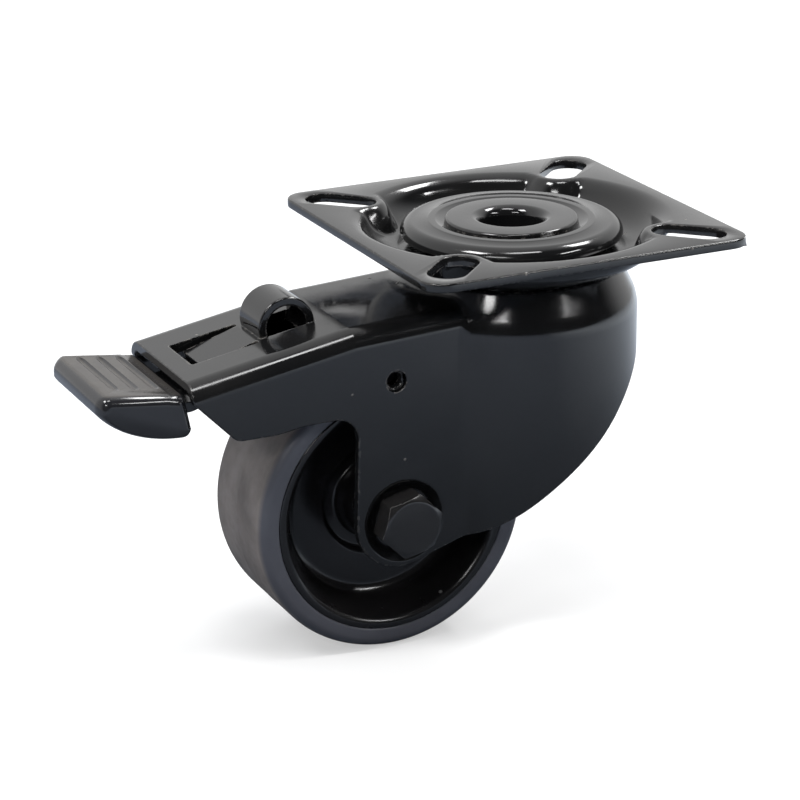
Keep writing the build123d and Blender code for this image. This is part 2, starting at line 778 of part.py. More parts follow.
with BuildPart() as tyre:
    with BuildSketch(wheel_plane):
        with BuildLine() as tyre_line:
            Polyline(
                (key_r, 0),
                (key_r, key_top_half_width),
                (hub_rim_r, tyre_key_half_width),
                (hub_rim_r, tyre_half_width),
            )
            Spline(
                (hub_rim_r, tyre_half_width),
                (wheel_r - tyre_shoulder_height, tyre_half_width - tyre_side_bulge),
                (wheel_r, tyre_crown_half_width),
                tangents=((1, 0), (0.15, -1)),
            )
            Polyline(
                (wheel_r, tyre_crown_half_width),
                (wheel_r, tyre_seam_height),
                (wheel_r + tyre_seam_height, 0),
            )
            mirror(about=Plane.XZ)
        make_face()
    revolve(axis=wheel_axis)
tyre.part.label = "tyre"

# ---------------------------------------------------------------- axle
with BuildPart() as axle_sleeve:
    with BuildSketch(Plane.XZ):
        with Locations((axle_x, axle_z)):
            Circle(sleeve_r)
            Circle(axle_bolt_r + sleeve_bore_play, mode=Mode.SUBTRACT)
    extrude(amount=leg_seat_y, both=True)
axle_sleeve.part.label = "axle_sleeve"

head_plane = Plane.XZ.offset(dimple_floor_y)
bolt_front_y = dimple_floor_y + bolt_washer_face + bolt_head_height
crown_slope = math.tan(math.radians(bolt_crown_angle))

with BuildPart() as axle_bolt:
    with BuildSketch(head_plane):
        with Locations((axle_x, axle_z)):
            Circle(bolt_washer_face_r)
    extrude(amount=bolt_washer_face)
    with BuildSketch(head_plane.offset(bolt_washer_face)):
        with Locations((axle_x, axle_z)):
            RegularPolygon(bolt_head_flats / 2, 6, major_radius=False, rotation=bolt_head_turn)
    extrude(amount=bolt_head_height)
    # The corners of the outer face are turned off to a flat cone.
    with BuildSketch(wheel_plane):
        Polygon(
            (0, -bolt_front_y),
            (bolt_crown_r, -bolt_front_y),
            (bolt_crown_r + crown_slope * bolt_head_height, -bolt_front_y + bolt_head_height),
            (bolt_crown_r + crown_slope * bolt_head_height, 0),
            (0, 0),
            align=None,
        )
    revolve(axis=wheel_axis, mode=Mode.INTERSECT)
    with BuildSketch(head_plane):
        with Locations((axle_x, axle_z)):
            Circle(axle_bolt_r)
    extrude(amount=-axle_bolt_length)
    chamfer(axle_bolt.faces().sort_by(Axis.Y)[-1].edges(), bolt_end_chamfer)
axle_bolt.part.label = "axle_bolt"

nut_plane = Plane.XZ.offset(-dimple_floor_y)
collar_y = dimple_floor_y + nut_height - nut_collar_height
with BuildPart() as axle_nut:
    with BuildSketch(nut_plane):
        with Locations((axle_x, axle_z)):
            Circle(bolt_washer_face_r)
    extrude(amount=-nut_height)
    with BuildSketch(nut_plane.offset(-bolt_washer_face)):
        with Locations((axle_x, axle_z)):
            RegularPolygon(bolt_head_flats / 2, 6, major_radius=False)
    extrude(amount=-(nut_height - nut_collar_height - bolt_washer_face))
    with BuildSketch(nut_plane):
        with Locations((axle_x, axle_z)):
            Circle(axle_bolt_r)
    extrude(amount=-nut_height, mode=Mode.SUBTRACT)
    with BuildSketch(Plane.XZ.offset(-collar_y)):
        with Locations((axle_x, axle_z)):
            Circle(insert_r)
    extrude(amount=-insert_height, mode=Mode.SUBTRACT)
axle_nut.part.label = "axle_nut"

with BuildPart() as nut_insert:
    with BuildSketch(Plane.XZ.offset(-collar_y)):
        with Locations((axle_x, axle_z)):
            Circle(insert_r)
            Circle(axle_bolt_r, mode=Mode.SUBTRACT)
    extrude(amount=-insert_height)
nut_insert.part.label = "nut_insert"

# ---------------------------------------------------------------- brake lever
ear_front_x = pivot_x - lever_ear_r - lever_ear_spread
ear_rear_x = min(pivot_x + lever_ear_r + lever_ear_spread, lever_rear_x)
lever_lean = math.degrees(math.atan2(lever_rear_z - lever_rise_z, lever_rear_x - lever_rise_x))


def rivet_seat(side):
    """Plane in the middle of the sloping web, at one of the shoe's two rivets."""
    return Plane(
        origin=(shoe_rivet_x, side * shoe_rivet_y, lever_web_z(shoe_rivet_x)),
        x_dir=(math.cos(math.radians(lever_lean)), 0, math.sin(math.radians(lever_lean))),
        z_dir=(-math.sin(math.radians(lever_lean)), 0, math.cos(math.radians(lever_lean))),
    )


with BuildPart() as brake_lever:
    # Long web over the wheel, with the narrow tang that the pedal is pressed on to.
    with BuildSketch(Plane.XZ):
        with BuildLine():
            FilletPolyline(
                (lever_tang_front_x, lever_tang_z),
                (lever_foot_x, lever_tang_z),
                (lever_rise_x, lever_rise_z),
                (lever_rear_x, lever_rear_z),
                radius=(lever_bend_r, lever_bend_r),
            )
            FilletPolyline(
                (lever_tang_front_x, lever_tang_z - lever_sheet),
                (lever_foot_x, lever_tang_z - lever_sheet),
                (lever_rise_x, lever_rise_z - lever_sheet),
                (lever_rear_x, lever_rear_z - lever_sheet),
                radius=(lever_bend_r, lever_bend_r),
            )
            Line((lever_tang_front_x, lever_tang_z), (lever_tang_front_x, lever_tang_z - lever_sheet))
            Line((lever_rear_x, lever_rear_z), (lever_rear_x, lever_rear_z - lever_sheet))
        make_face()
    extrude(amount=lever_half_width, both=True)
    with BuildSketch(Plane.XY.offset(below_all)):
        with Locations(((lever_tang_front_x + lever_shoulder_x) / 2, 0)):
            Rectangle(lever_shoulder_x - lever_tang_front_x, 2 * lever_half_width + 2.0)
            Rectangle(
                lever_shoulder_x - lever_tang_front_x, 2 * lever_tang_half_width, mode=Mode.SUBTRACT
            )
    extrude(amount=-below_all, mode=Mode.SUBTRACT)
    # Ears beside the tyre, each with a stud for the hole in the leg.
    for side in (-1, 1):
        with BuildSketch(Plane.XZ.offset(-side * lever_half_width)):
            with Locations((pivot_x, pivot_z)):
                Circle(lever_ear_r)
            Polygon(
                (pivot_x - lever_ear_r, pivot_z),
                (ear_front_x, lever_web_z(ear_front_x)),
                (ear_rear_x, lever_web_z(ear_rear_x)),
                (pivot_x + lever_ear_r, pivot_z),
                align=None,
            )
        extrude(amount=side * lever_ear_sheet)
        with BuildSketch(Plane.XZ.offset(-side * lever_half_width)):
            with Locations((pivot_x, pivot_z)):
                Circle(pivot_stud_r)
        extrude(amount=-side * (leg_outer_y - pivot_stud_recess - lever_half_width))
        # The stud is pushed half through the ear, which leaves a pit behind it.
        with BuildSketch(Plane.XZ.offset(-side * (lever_half_width - lever_ear_sheet))):
            with Locations((pivot_x, pivot_z)):
                Circle(pivot_stud_r - 0.5)
        extrude(amount=-side * lever_ear_sheet, mode=Mode.SUBTRACT)
    for side in (-1, 1):
        with BuildSketch(rivet_seat(side)):
            Circle(shoe_rivet_r)
        extrude(amount=2 * lever_sheet, both=True, mode=Mode.SUBTRACT)
brake_lever.part.label = "brake_lever"

# ---------------------------------------------------------------- brake shoe
tread_shoe_r = wheel_r + tyre_seam_height + shoe_lift
shoe_outer_r = tread_shoe_r + shoe_sheet
shoe_under_rear_z = lever_web_z(shoe_rear_x) - lever_sheet / 2
shoe_flat_x = shoe_bend_x + 2 * shoe_sheet
shoe_flat_z = lever_web_z(shoe_flat_x) - lever_sheet / 2
shoe_bend_angle = math.degrees(math.acos((shoe_bend_x - axle_x) / shoe_outer_r))


def round_axle(radius, degrees):
    """Point at this radius and angle round the axle, 90 degrees being straight up."""
    turn = math.radians(degrees)
    return (axle_x + radius * math.cos(turn), axle_z + radius * math.sin(turn))


with BuildPart() as brake_shoe:
    # Leaf of spring steel, flat under the web and then curved round the tread.
    with BuildSketch(Plane.XZ):
        with BuildLine():
            Polyline(
                round_axle(shoe_outer_r, shoe_bend_angle),
                (shoe_flat_x, shoe_flat_z),
                (shoe_rear_x, shoe_under_rear_z),
                (shoe_rear_x, shoe_under_rear_z - shoe_sheet),
                (shoe_flat_x, shoe_flat_z - shoe_sheet),
                round_axle(tread_shoe_r, shoe_bend_angle),
            )
            ThreePointArc(
                round_axle(tread_shoe_r, shoe_bend_angle),
                round_axle(tread_shoe_r, (shoe_bend_angle + shoe_tip_angle) / 2),
                round_axle(tread_shoe_r, shoe_tip_angle),
            )
            Line(round_axle(tread_shoe_r, shoe_tip_angle), round_axle(shoe_outer_r, shoe_tip_angle))
            ThreePointArc(
                round_axle(shoe_outer_r, shoe_tip_angle),
                round_axle(shoe_outer_r, (shoe_bend_angle + shoe_tip_angle) / 2),
                round_axle(shoe_outer_r, shoe_bend_angle),
            )
        make_face()
    extrude(amount=shoe_half_width, both=True)
    for side in (-1, 1):
        with BuildSketch(rivet_seat(side)):
            Circle(shoe_rivet_r)
        extrude(amount=2 * lever_sheet, both=True, mode=Mode.SUBTRACT)
brake_shoe.part.label = "brake_shoe"

web_half = lever_sheet * math.cos(math.radians(lever_lean)) / 2
shoe_far = web_half + shoe_sheet * math.cos(math.radians(lever_lean))

with BuildPart() as shoe_rivets:
    for side in (-1, 1):
        seat = rivet_seat(side)
        with BuildSketch(seat.offset(web_half)):
            Circle(shoe_rivet_head_r)
        extrude(amount=shoe_rivet_head)
        with BuildSketch(seat.offset(-shoe_far)):
            Circle(shoe_rivet_head_r)
        extrude(amount=-shoe_rivet_head)
        with BuildSketch(seat.offset(-shoe_far)):
            Circle(shoe_rivet_r - rivet_fit)
        extrude(amount=web_half + shoe_far)
shoe_rivets.part.label = "shoe_rivets"

# ---------------------------------------------------------------- brake pedal
def pedal_top(x):
    """Height of the pedal's tread at x."""
    return pedal_top_front_z - pedal_slope * (x - pedal_front_x)


pedal_bottom_x = pedal_rear_x - pedal_ridge_step
pedal_front_low_z = pedal_top_front_z - pedal_front_height
pedal_mid_x = (pedal_front_x + pedal_bottom_x) / 2

with BuildPart() as brake_pedal:
    with BuildSketch(Plane.XZ):
        with BuildLine():
            FilletPolyline(
                (pedal_ridge_x, pedal_top(pedal_ridge_x)),
                (pedal_front_x, pedal_top_front_z),
                (pedal_front_x, pedal_front_low_z),
                radius=(pedal_nose_r,),
            )
            Spline(
                (pedal_front_x, pedal_front_low_z),
                (pedal_mid_x, pedal_front_low_z + 0.75 * (pedal_bottom_z - pedal_front_low_z)),
                (pedal_bottom_x, pedal_bottom_z),
                tangents=((0.5, -1), (1, 0)),
            )
            FilletPolyline(
                (pedal_bottom_x, pedal_bottom_z),
                (pedal_heel_x, pedal_bottom_z),
                (pedal_rear_x, pedal_rear_top_z),
                (pedal_ridge_x + pedal_ridge_step, pedal_top(pedal_ridge_x) - pedal_ridge_step),
                (pedal_ridge_x, pedal_top(pedal_ridge_x)),
                radius=(1.0, 0.5, 0.1),
            )
        make_face()
    extrude(amount=pedal_half_width, both=True)
    # Rounded front corners, which run on along the tread's sides.
    fillet(brake_pedal.edges().filter_by(Axis.Z).group_by(Axis.X)[0], pedal_corner_r)
    # Grip grooves across the tread.
    with BuildSketch(Plane.XZ):
        for number in range(pedal_groove_count):
            groove_x = pedal_groove_first_x + number * pedal_groove_pitch
            with Locations((groove_x, pedal_top(groove_x) + pedal_groove_r - pedal_groove_depth)):
                Circle(pedal_groove_r)
    extrude(amount=pedal_half_width - pedal_groove_margin, both=True, mode=Mode.SUBTRACT)
    # Socket for the lever's tang.
    with BuildSketch(Plane.XZ):
        Polygon(
            (lever_tang_front_x - pedal_socket_play, lever_tang_z),
            (lever_tang_front_x - pedal_socket_play, lever_tang_z - lever_sheet),
            (pedal_heel_x, lever_tang_z - lever_sheet),
            (pedal_heel_x, lever_tang_z),
            align=None,
        )
    extrude(amount=lever_tang_half_width, both=True, mode=Mode.SUBTRACT)
brake_pedal.part.label = "brake_pedal"

# ---------------------------------------------------------------- files
export_step(top_plate.part, "parts/top_plate.step")
export_step(race_cap.part, "parts/race_cap.step")
export_step(kingpin_rivet.part, "parts/kingpin_rivet.step")
export_step(upper_balls.part, "parts/upper_balls.step")
export_step(lower_balls.part, "parts/lower_balls.step")
export_step(fork.part, "parts/fork.step")
export_step(wheel_hub.part, "parts/wheel_hub.step")
export_step(tyre.part, "parts/tyre.step")
export_step(axle_sleeve.part, "parts/axle_sleeve.step")
export_step(axle_bolt.part, "parts/axle_bolt.step")
export_step(axle_nut.part, "parts/axle_nut.step")
export_step(nut_insert.part, "parts/nut_insert.step")
export_step(brake_lever.part, "parts/brake_lever.step")
export_step(brake_shoe.part, "parts/brake_shoe.step")
export_step(shoe_rivets.part, "parts/shoe_rivets.step")
export_step(brake_pedal.part, "parts/brake_pedal.step")
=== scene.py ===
# %% [markdown]
# # A swivel castor with a brake
# A castor is a small wheel that carries a corner of a trolley. This one has a square steel plate on
# top, a fork that swivels under it on two rings of balls, a rubber-tyred wheel on a bolt, and a foot
# pedal that brakes the wheel. The lesson dresses a finished engineering model: its pieces come in at
# their real size, and Blender gives them rounded edges, real surfaces and a studio to stand in.

# %% Load the engineering model
import math

import bpy
from mathutils import Matrix, Vector


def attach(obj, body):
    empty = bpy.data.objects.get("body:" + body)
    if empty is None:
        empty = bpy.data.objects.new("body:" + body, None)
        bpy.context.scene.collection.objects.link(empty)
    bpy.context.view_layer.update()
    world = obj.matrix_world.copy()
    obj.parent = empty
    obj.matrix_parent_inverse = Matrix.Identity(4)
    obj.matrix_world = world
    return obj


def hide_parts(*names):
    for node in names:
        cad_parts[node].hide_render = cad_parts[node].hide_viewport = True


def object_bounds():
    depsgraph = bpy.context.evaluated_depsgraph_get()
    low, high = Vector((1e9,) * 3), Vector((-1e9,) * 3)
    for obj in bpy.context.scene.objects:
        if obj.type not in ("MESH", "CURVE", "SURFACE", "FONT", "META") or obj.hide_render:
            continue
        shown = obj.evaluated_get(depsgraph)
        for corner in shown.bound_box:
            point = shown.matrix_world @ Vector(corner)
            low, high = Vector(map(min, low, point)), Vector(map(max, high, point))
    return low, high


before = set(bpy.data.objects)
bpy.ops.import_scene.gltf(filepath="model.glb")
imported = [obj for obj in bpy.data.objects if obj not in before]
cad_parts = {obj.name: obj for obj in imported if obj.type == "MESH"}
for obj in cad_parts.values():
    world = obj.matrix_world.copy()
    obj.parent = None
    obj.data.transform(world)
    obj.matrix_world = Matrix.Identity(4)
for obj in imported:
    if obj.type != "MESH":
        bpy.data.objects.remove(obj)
cad_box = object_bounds()
MM = 0.001

# %% [markdown]
# ## The camera
# A product picture is taken from a little above, with a long lens that keeps upright lines nearly
# parallel. The camera stands on a circle round a point inside the castor, so its place is an angle
# round, an angle up and a distance, and its own axes follow from those three.

# %% Place the camera
view_round = math.radians(-25.313)
view_up = math.radians(19.887)
view_roll = math.radians(-0.519)
view_distance = 502.9 * MM
view_target = Vector((-21.35, 0.0, -30.04)) * MM

towards_camera = Vector((math.sin(view_round) * math.cos(view_up),
                         -math.cos(view_round) * math.cos(view_up),
                         math.sin(view_up)))
level_right = Vector((math.cos(view_round), math.sin(view_round), 0.0))
level_up = towards_camera.cross(level_right)
right = level_right * math.cos(view_roll) + level_up * math.sin(view_roll)
up = towards_camera.cross(right)
bpy.ops.object.camera_add(location=view_target + towards_camera * view_distance)
camera = bpy.context.object
camera.matrix_world = Matrix.Translation(camera.location) @ Matrix((
    (right.x, up.x, towards_camera.x, 0.0),
    (right.y, up.y, towards_camera.y, 0.0),
    (right.z, up.z, towards_camera.z, 0.0),
    (0.0, 0.0, 0.0, 1.0)))
camera.data.lens = 132.2
camera.data.sensor_width = 36.0
camera.data.clip_start = 0.01
bpy.context.scene.camera = camera
print("camera at", [round(v, 3) for v in camera.location])

# %% [markdown]
# ## Helpers for nodes
# The studio and every finish are nets of nodes. To add a node, set it and draw its links takes
# several lines each time, so one helper does all three: it is told the kind of node and what goes
# into each input, a value or another node's output. The others name the nodes that are used most.

# %% Node helpers
def node(tree, kind, inputs=(), **settings):
    """Adds a node, sets it, and fills its inputs with values or links."""
    made = tree.nodes.new(kind)
    for name, value in settings.items():
        setattr(made, name, value)
    for name, value in dict(inputs).items():
        if isinstance(value, bpy.types.NodeSocket):
            tree.links.new(value, made.inputs[name])
        else:
            made.inputs[name].default_value = value
    return made


def between(tree, value, low, high, out_low=0.0, out_high=1.0, **settings):
    """Stretches the part of a pattern between two levels over a new range."""
    inputs = {"Value": value, "From Min": low, "From Max": high, "To Min": out_low, "To Max": out_high}
    return node(tree, "ShaderNodeMapRange", inputs, **settings).outputs[0]


def maths(tree, operation, first, second):
    """Combines two values or patterns."""
    return node(tree, "ShaderNodeMath", {0: first, 1: second}, operation=operation).outputs[0]


def mixed(tree, factor, first, second):
    """Mixes two colours, or patterns of colour, by a pattern."""
    first, second = ((*tone, 1.0) if isinstance(tone, tuple) else tone for tone in (first, second))
    return node(tree, "ShaderNodeMix", {0: factor, 6: first, 7: second}, data_type="RGBA").outputs[2]


def blended(tree, share, first, second):
    """Mixes two shaders by a pattern."""
    return node(tree, "ShaderNodeMixShader", {0: share, 1: first, 2: second}).outputs[0]

# %% [markdown]
# ## The studio
# Gloss black shows nothing but what stands round it, so the room matters more than the paint. Here
# the room behind the castor is bright and the room in front of it is dark, which gives bright tops
# and dark sides. The white backdrop is there for the eye and, where it stands behind the castor,
# for mirror-like surfaces too. The studio is measured in metres and the castor in millimetres.

# %% Build the room
white = (1.0, 1.0, 1.0, 1.0)
room_colour = (0.79, 0.8, 0.82, 1.0)
front_strength = 0.06
back_strength = 1.3
turn_over = 0.35


def shows_backdrop(tree, behind):
    """1 for the eye, and for a mirrored or refracted ray as far as behind is 1."""
    ray = node(tree, "ShaderNodeLightPath").outputs
    by_mirror = maths(tree, "MAXIMUM", ray["Is Glossy Ray"], ray["Is Transmission Ray"])
    return maths(tree, "MAXIMUM", maths(tree, "MULTIPLY", by_mirror, behind), ray["Is Camera Ray"])


world = bpy.data.worlds.new("studio")
bpy.context.scene.world = world
world.use_nodes = True
room = world.node_tree
room.nodes.clear()
direction = node(room, "ShaderNodeTexCoord").outputs["Generated"]
to_back = node(room, "ShaderNodeSeparateXYZ", {0: direction}).outputs["Y"]
behind = between(room, to_back, -turn_over, turn_over, interpolation_type="SMOOTHSTEP")
strength = between(room, behind, 0.0, 1.0, front_strength, back_strength)
walls = node(room, "ShaderNodeBackground", {"Color": room_colour, "Strength": strength}).outputs[0]
backdrop = node(room, "ShaderNodeBackground", {"Color": white}).outputs[0]
node(room, "ShaderNodeOutputWorld", {0: blended(room, shows_backdrop(room, behind), walls, backdrop)})
print("room:", len(room.nodes), "nodes")

# %% [markdown]
# Two soft boxes high on the left and the right add the broad highlights, and two small ones in
# front draw the thin lines on edges that face the camera. A strip overhead runs along the part, so
# that its long rounded edges carry one crisp line.

# %% Hang the lamps
lamp_distance = 1.2


def softbox(name, azimuth, elevation, width, height, power):
    """A lamp that looks at the castor; the azimuth runs from behind it, clockwise from above."""
    round_angle, up_angle = math.radians(azimuth), math.radians(elevation)
    where = Vector((math.sin(round_angle) * math.cos(up_angle),
                    math.cos(round_angle) * math.cos(up_angle),
                    math.sin(up_angle))) * lamp_distance
    bpy.ops.object.light_add(type="AREA", location=where)
    lamp = bpy.context.object
    lamp.name = name
    lamp.data.shape = "RECTANGLE"
    lamp.data.size, lamp.data.size_y = width, height
    lamp.data.energy = power
    lamp.rotation_euler = (-where).to_track_quat("-Z", "Y").to_euler()
    lamp.visible_camera = False
    print(name, "at", [round(v, 2) for v in where])


softbox("left_softbox", azimuth=-100.0, elevation=55.0, width=0.36, height=0.3, power=8.5)
softbox("right_softbox", azimuth=75.0, elevation=52.0, width=0.42, height=0.26, power=8.5)
softbox("front_right_patch", azimuth=140.0, elevation=31.0, width=0.46, height=0.07, power=3.2)
softbox("front_left_patch", azimuth=-137.0, elevation=30.5, width=0.44, height=0.07, power=2.2)
softbox("overhead_strip", azimuth=180.0, elevation=73.0, width=0.5, height=0.2, power=4.6)

# %% [markdown]
# The floor does two jobs. Seen directly it is a pale sheet that keeps a soft shadow and fades to
# white far off. Seen in the paint it is the bluish grey that fills the legs, with a painted shadow
# close to the castor, where less light gets under it, and painted light towards the right. From
# below it is clear, so that the underside can be seen.

# %% Lay the floor
floor_z = cad_box[0][2]
floor_r = 3.0
bpy.ops.mesh.primitive_circle_add(vertices=96, radius=floor_r, fill_type="NGON",
                                  location=(0, 0, floor_z))
floor = bpy.context.object
floor.name = "studio_floor"
print("floor at", round(floor_z, 4))

# %% Finish the floor
pale = (0.5, 0.5, 0.5, 1.0)
pale_glow = 0.45
# The mirrored floor's colours hold a painted shadow close to the castor and painted light towards +X.
painted_shadow_tone, open_tone, painted_light_tone = (0.128, 0.145, 0.172), (0.31, 0.345, 0.41), (0.8, 0.86, 0.93)
painted_shadow_from, painted_shadow_to = 0.06, 0.20
painted_light_from, painted_light_to = 0.03, 0.25
white_from, white_to = 0.25, 0.9

floor_finish = bpy.data.materials.new("studio_floor")
floor_finish.use_nodes = True
tree = floor_finish.node_tree
tree.nodes.clear()
spot = node(tree, "ShaderNodeTexCoord").outputs["Object"]
along = node(tree, "ShaderNodeSeparateXYZ", {0: spot}).outputs
far_off = node(tree, "ShaderNodeVectorMath", {0: spot}, operation="LENGTH").outputs["Value"]

# Floor seen in the paint: painted light towards +X, then a painted shadow close to the castor.
floor_with_painted_light = mixed(tree, between(tree, along["X"], painted_light_from, painted_light_to), open_tone, painted_light_tone)
reach = between(tree, far_off, painted_shadow_from, painted_shadow_to, interpolation_type="SMOOTHSTEP")
mirrored_tone = mixed(tree, reach, painted_shadow_tone, floor_with_painted_light)
mirrored_floor = node(tree, "ShaderNodeBsdfDiffuse", {"Color": mirrored_tone}).outputs[0]
sheet = node(tree, "ShaderNodeBsdfDiffuse", {"Color": pale}).outputs[0]
glow = node(tree, "ShaderNodeEmission", {"Strength": pale_glow}).outputs[0]
seen_floor = node(tree, "ShaderNodeAddShader", {0: sheet, 1: glow}).outputs[0]
to_eye = node(tree, "ShaderNodeLightPath").outputs["Is Camera Ray"]
near_floor = blended(tree, to_eye, mirrored_floor, seen_floor)

floor_behind = between(tree, along["Y"], -turn_over, turn_over)
horizon = between(tree, far_off, white_from, white_to)
white_share = maths(tree, "MULTIPLY", horizon, shows_backdrop(tree, floor_behind))
far_floor = node(tree, "ShaderNodeEmission", {"Color": white}).outputs[0]
from_above = blended(tree, white_share, near_floor, far_floor)
clear = node(tree, "ShaderNodeBsdfTransparent").outputs[0]
below = node(tree, "ShaderNodeNewGeometry").outputs["Backfacing"]
node(tree, "ShaderNodeOutputMaterial", {0: blended(tree, below, from_above, clear)})
floor.data.materials.append(floor_finish)
print("floor finish:", len(tree.nodes), "nodes")

# %% [markdown]
# ## Helpers for modelling
# An operator works on whatever is selected, and loading leaves everything selected. So a piece is
# always made the only selected one first, and its points, edges or faces are then chosen by where
# they are, which also works where nobody can click on them.

# %% Helpers for choosing
def pick(piece):
    """Makes this piece the active one and the only one selected."""
    if bpy.context.object and bpy.context.object.mode != "OBJECT":
        bpy.ops.object.mode_set(mode="OBJECT")
    bpy.ops.object.select_all(action="DESELECT")
    bpy.context.view_layer.objects.active = piece
    piece.select_set(True)


def choose_edges(piece, test):
    """Selects the edges whose middle and direction pass the test, and stays in edit mode."""
    pick(piece)
    bpy.ops.object.mode_set(mode="EDIT")
    bpy.ops.mesh.select_mode(type="EDGE")
    bpy.ops.mesh.select_all(action="DESELECT")
    bpy.ops.object.mode_set(mode="OBJECT")
    for edge in piece.data.edges:
        a, b = (piece.data.vertices[i].co / MM for i in edge.vertices)
        edge.select = test((a + b) / 2, b - a)
    bpy.ops.object.mode_set(mode="EDIT")


def apply_modifier(piece, kind, **settings):
    """Adds a modifier, sets it and applies it."""
    pick(piece)
    modifier = piece.modifiers.new(kind.lower(), kind)
    for name, value in settings.items():
        setattr(modifier, name, value)
    bpy.ops.object.modifier_apply(modifier=modifier.name)


def set_place():
    """Moves the selected piece's place and turn into its mesh."""
    bpy.ops.object.transform_apply(location=True, rotation=True, scale=True)


def clean(piece):
    """Merges doubled points, drops loose edges and turns all faces outwards."""
    pick(piece)
    bpy.ops.object.mode_set(mode="EDIT")
    bpy.ops.mesh.select_all(action="SELECT")
    bpy.ops.mesh.remove_doubles(threshold=0.002 * MM)
    bpy.ops.mesh.delete_loose()
    bpy.ops.mesh.select_all(action="SELECT")
    bpy.ops.mesh.normals_make_consistent(inside=False)
    bpy.ops.object.mode_set(mode="OBJECT")


remade = {}


def finish(piece, name, body, node, angle=35.0):
    """Shades a piece, hands it to its body and lets it stand for its engineering node."""
    pick(piece)
    set_place()
    bpy.ops.object.shade_smooth_by_angle(angle=math.radians(angle))
    piece.name = name
    piece.data.name = name
    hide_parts(node)
    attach(piece, body)
    remade[node] = piece
    print(name, "has", len(piece.data.polygons), "faces")

# %% Spin helper
def arc(centre, radius, start, end, steps=8):
    """Points round a centre in a section, from one angle to another; 0 degrees points outwards."""
    turns = [math.radians(start + (end - start) * i / steps) for i in range(steps + 1)]
    return [(centre[0] + radius * math.cos(t), centre[1] + radius * math.sin(t)) for t in turns]


def lathe(section, centre=(0.0, 0.0, 0.0), along="Z", steps=128):
    """Spins a closed section of (radius, height) points in mm round an axis through the centre."""
    bpy.ops.object.select_all(action="DESELECT")
    bpy.ops.mesh.primitive_circle_add(vertices=len(section), radius=MM, fill_type="NOTHING")
    piece = bpy.context.object
    middle = Vector(centre)
    for point, (radius, height) in zip(piece.data.vertices, section):
        place = (radius, 0.0, height) if along == "Z" else (radius, height, 0.0)
        point.co = (Vector(place) + middle) * MM
    bpy.ops.object.mode_set(mode="EDIT")
    bpy.ops.mesh.select_all(action="SELECT")
    axis = (0.0, 0.0, 1.0) if along == "Z" else (0.0, 1.0, 0.0)
    bpy.ops.mesh.spin(steps=steps, angle=2 * math.pi, center=middle * MM, axis=axis)
    clean(piece)
    return piece

# %% [markdown]
# ## The top plate
# The plate is pressed from one sheet: a square flange with slots for the screws, and a bowl that
# holds the balls. It could be carved from a block with booleans, but a bowl is round, so it is
# turned first: a section is spun into a wide disc. The four slots need flat ground at their inner
# ends, so the disc's points are then lifted into soft pads there, top and underside alike. Last a
# rounded square trims the disc, and four slot cutters with flared mouths leave rounded rims.

# %% Turn the disc
plate_side = 60.0
plate_sheet = 1.6
plate_corner_r = 4.0
rim_r = 0.3
bowl_depth = 5.2
bowl_floor_r = 19.4
bowl_arc_r = 6.2
lip_r = 3.2
plate_bore_r = 9.0
race_rise = 0.7
race_ledge = 1.3
under_step_r = 10.6
race_z = -bowl_depth + race_rise
under_z = -bowl_depth - plate_sheet
step_z = under_z + race_rise
upper_track_r, upper_race_r, upper_ball_z = 12.2, 1.67, -3.6
lower_track_r, lower_race_r, lower_ball_z = 15.4, 2.08, -8.1
disc_r = 45.0

bowl_centre_z = bowl_arc_r - bowl_depth
lip_centre_r = bowl_floor_r + math.sqrt((bowl_arc_r + lip_r) ** 2 - (bowl_centre_z + lip_r) ** 2)
wall_turn = math.degrees(math.atan2(bowl_centre_z + lip_r, lip_centre_r - bowl_floor_r))
upper_turn = math.degrees(math.acos((upper_ball_z - race_z) / upper_race_r))
lower_turn = math.degrees(math.acos((under_z - lower_ball_z) / lower_race_r))

section = arc((plate_bore_r + rim_r, race_z - rim_r), rim_r, 180, 90, 3)
section += arc((upper_track_r, upper_ball_z), upper_race_r, -90 - upper_turn, -90 + upper_turn, 10)
section += [(lower_track_r + race_ledge, race_z)]
section += arc((bowl_floor_r, bowl_centre_z), bowl_arc_r, -90, -wall_turn, 20)
section += arc((lip_centre_r, -lip_r), lip_r, 180 - wall_turn, 90, 14)[1:]
section += [(disc_r, 0.0), (disc_r, -plate_sheet)]
section += arc((lip_centre_r, -lip_r), lip_r - plate_sheet, 90, 180 - wall_turn, 8)
section += arc((bowl_floor_r, bowl_centre_z), bowl_arc_r + plate_sheet, -wall_turn, -90, 20)[1:]
section += arc((lower_track_r, lower_ball_z), lower_race_r, 90 - lower_turn, 90 + lower_turn, 10)
section += [(under_step_r + race_rise, under_z), (under_step_r, step_z)]
section += arc((plate_bore_r + rim_r, step_z + rim_r), rim_r, -90, -180, 3)
plate = lathe(section, steps=288)
print("disc faces:", len(plate.data.polygons))

# %% Lift the pads
screw_pitch = 44.0
slot_centre_r = screw_pitch / math.sqrt(2.0)
slot_travel = 6.2
slot_width = 6.5
pad_centre_r = slot_centre_r - slot_travel / 2
pad_flat_r = 4.1
pad_under_flat_r = 2.8
pad_fall = 2.6
pad_blend = 1.6


def pad_height(x, y, flat_r):
    """Height of a pad's own surface: flat in its middle, then falling ever more steeply."""
    corner = Vector((math.copysign(pad_centre_r, x), math.copysign(pad_centre_r, y))) * math.sqrt(0.5)
    past = max((Vector((x, y)) - corner).length - flat_r, 0.0)
    return -bowl_depth * (past / pad_fall) ** 2


def lift(height, pad):
    """The higher of the two, with a fillet where they meet."""
    return max(height, pad) + max(pad_blend - abs(height - pad), 0.0) ** 2 / (4 * pad_blend)


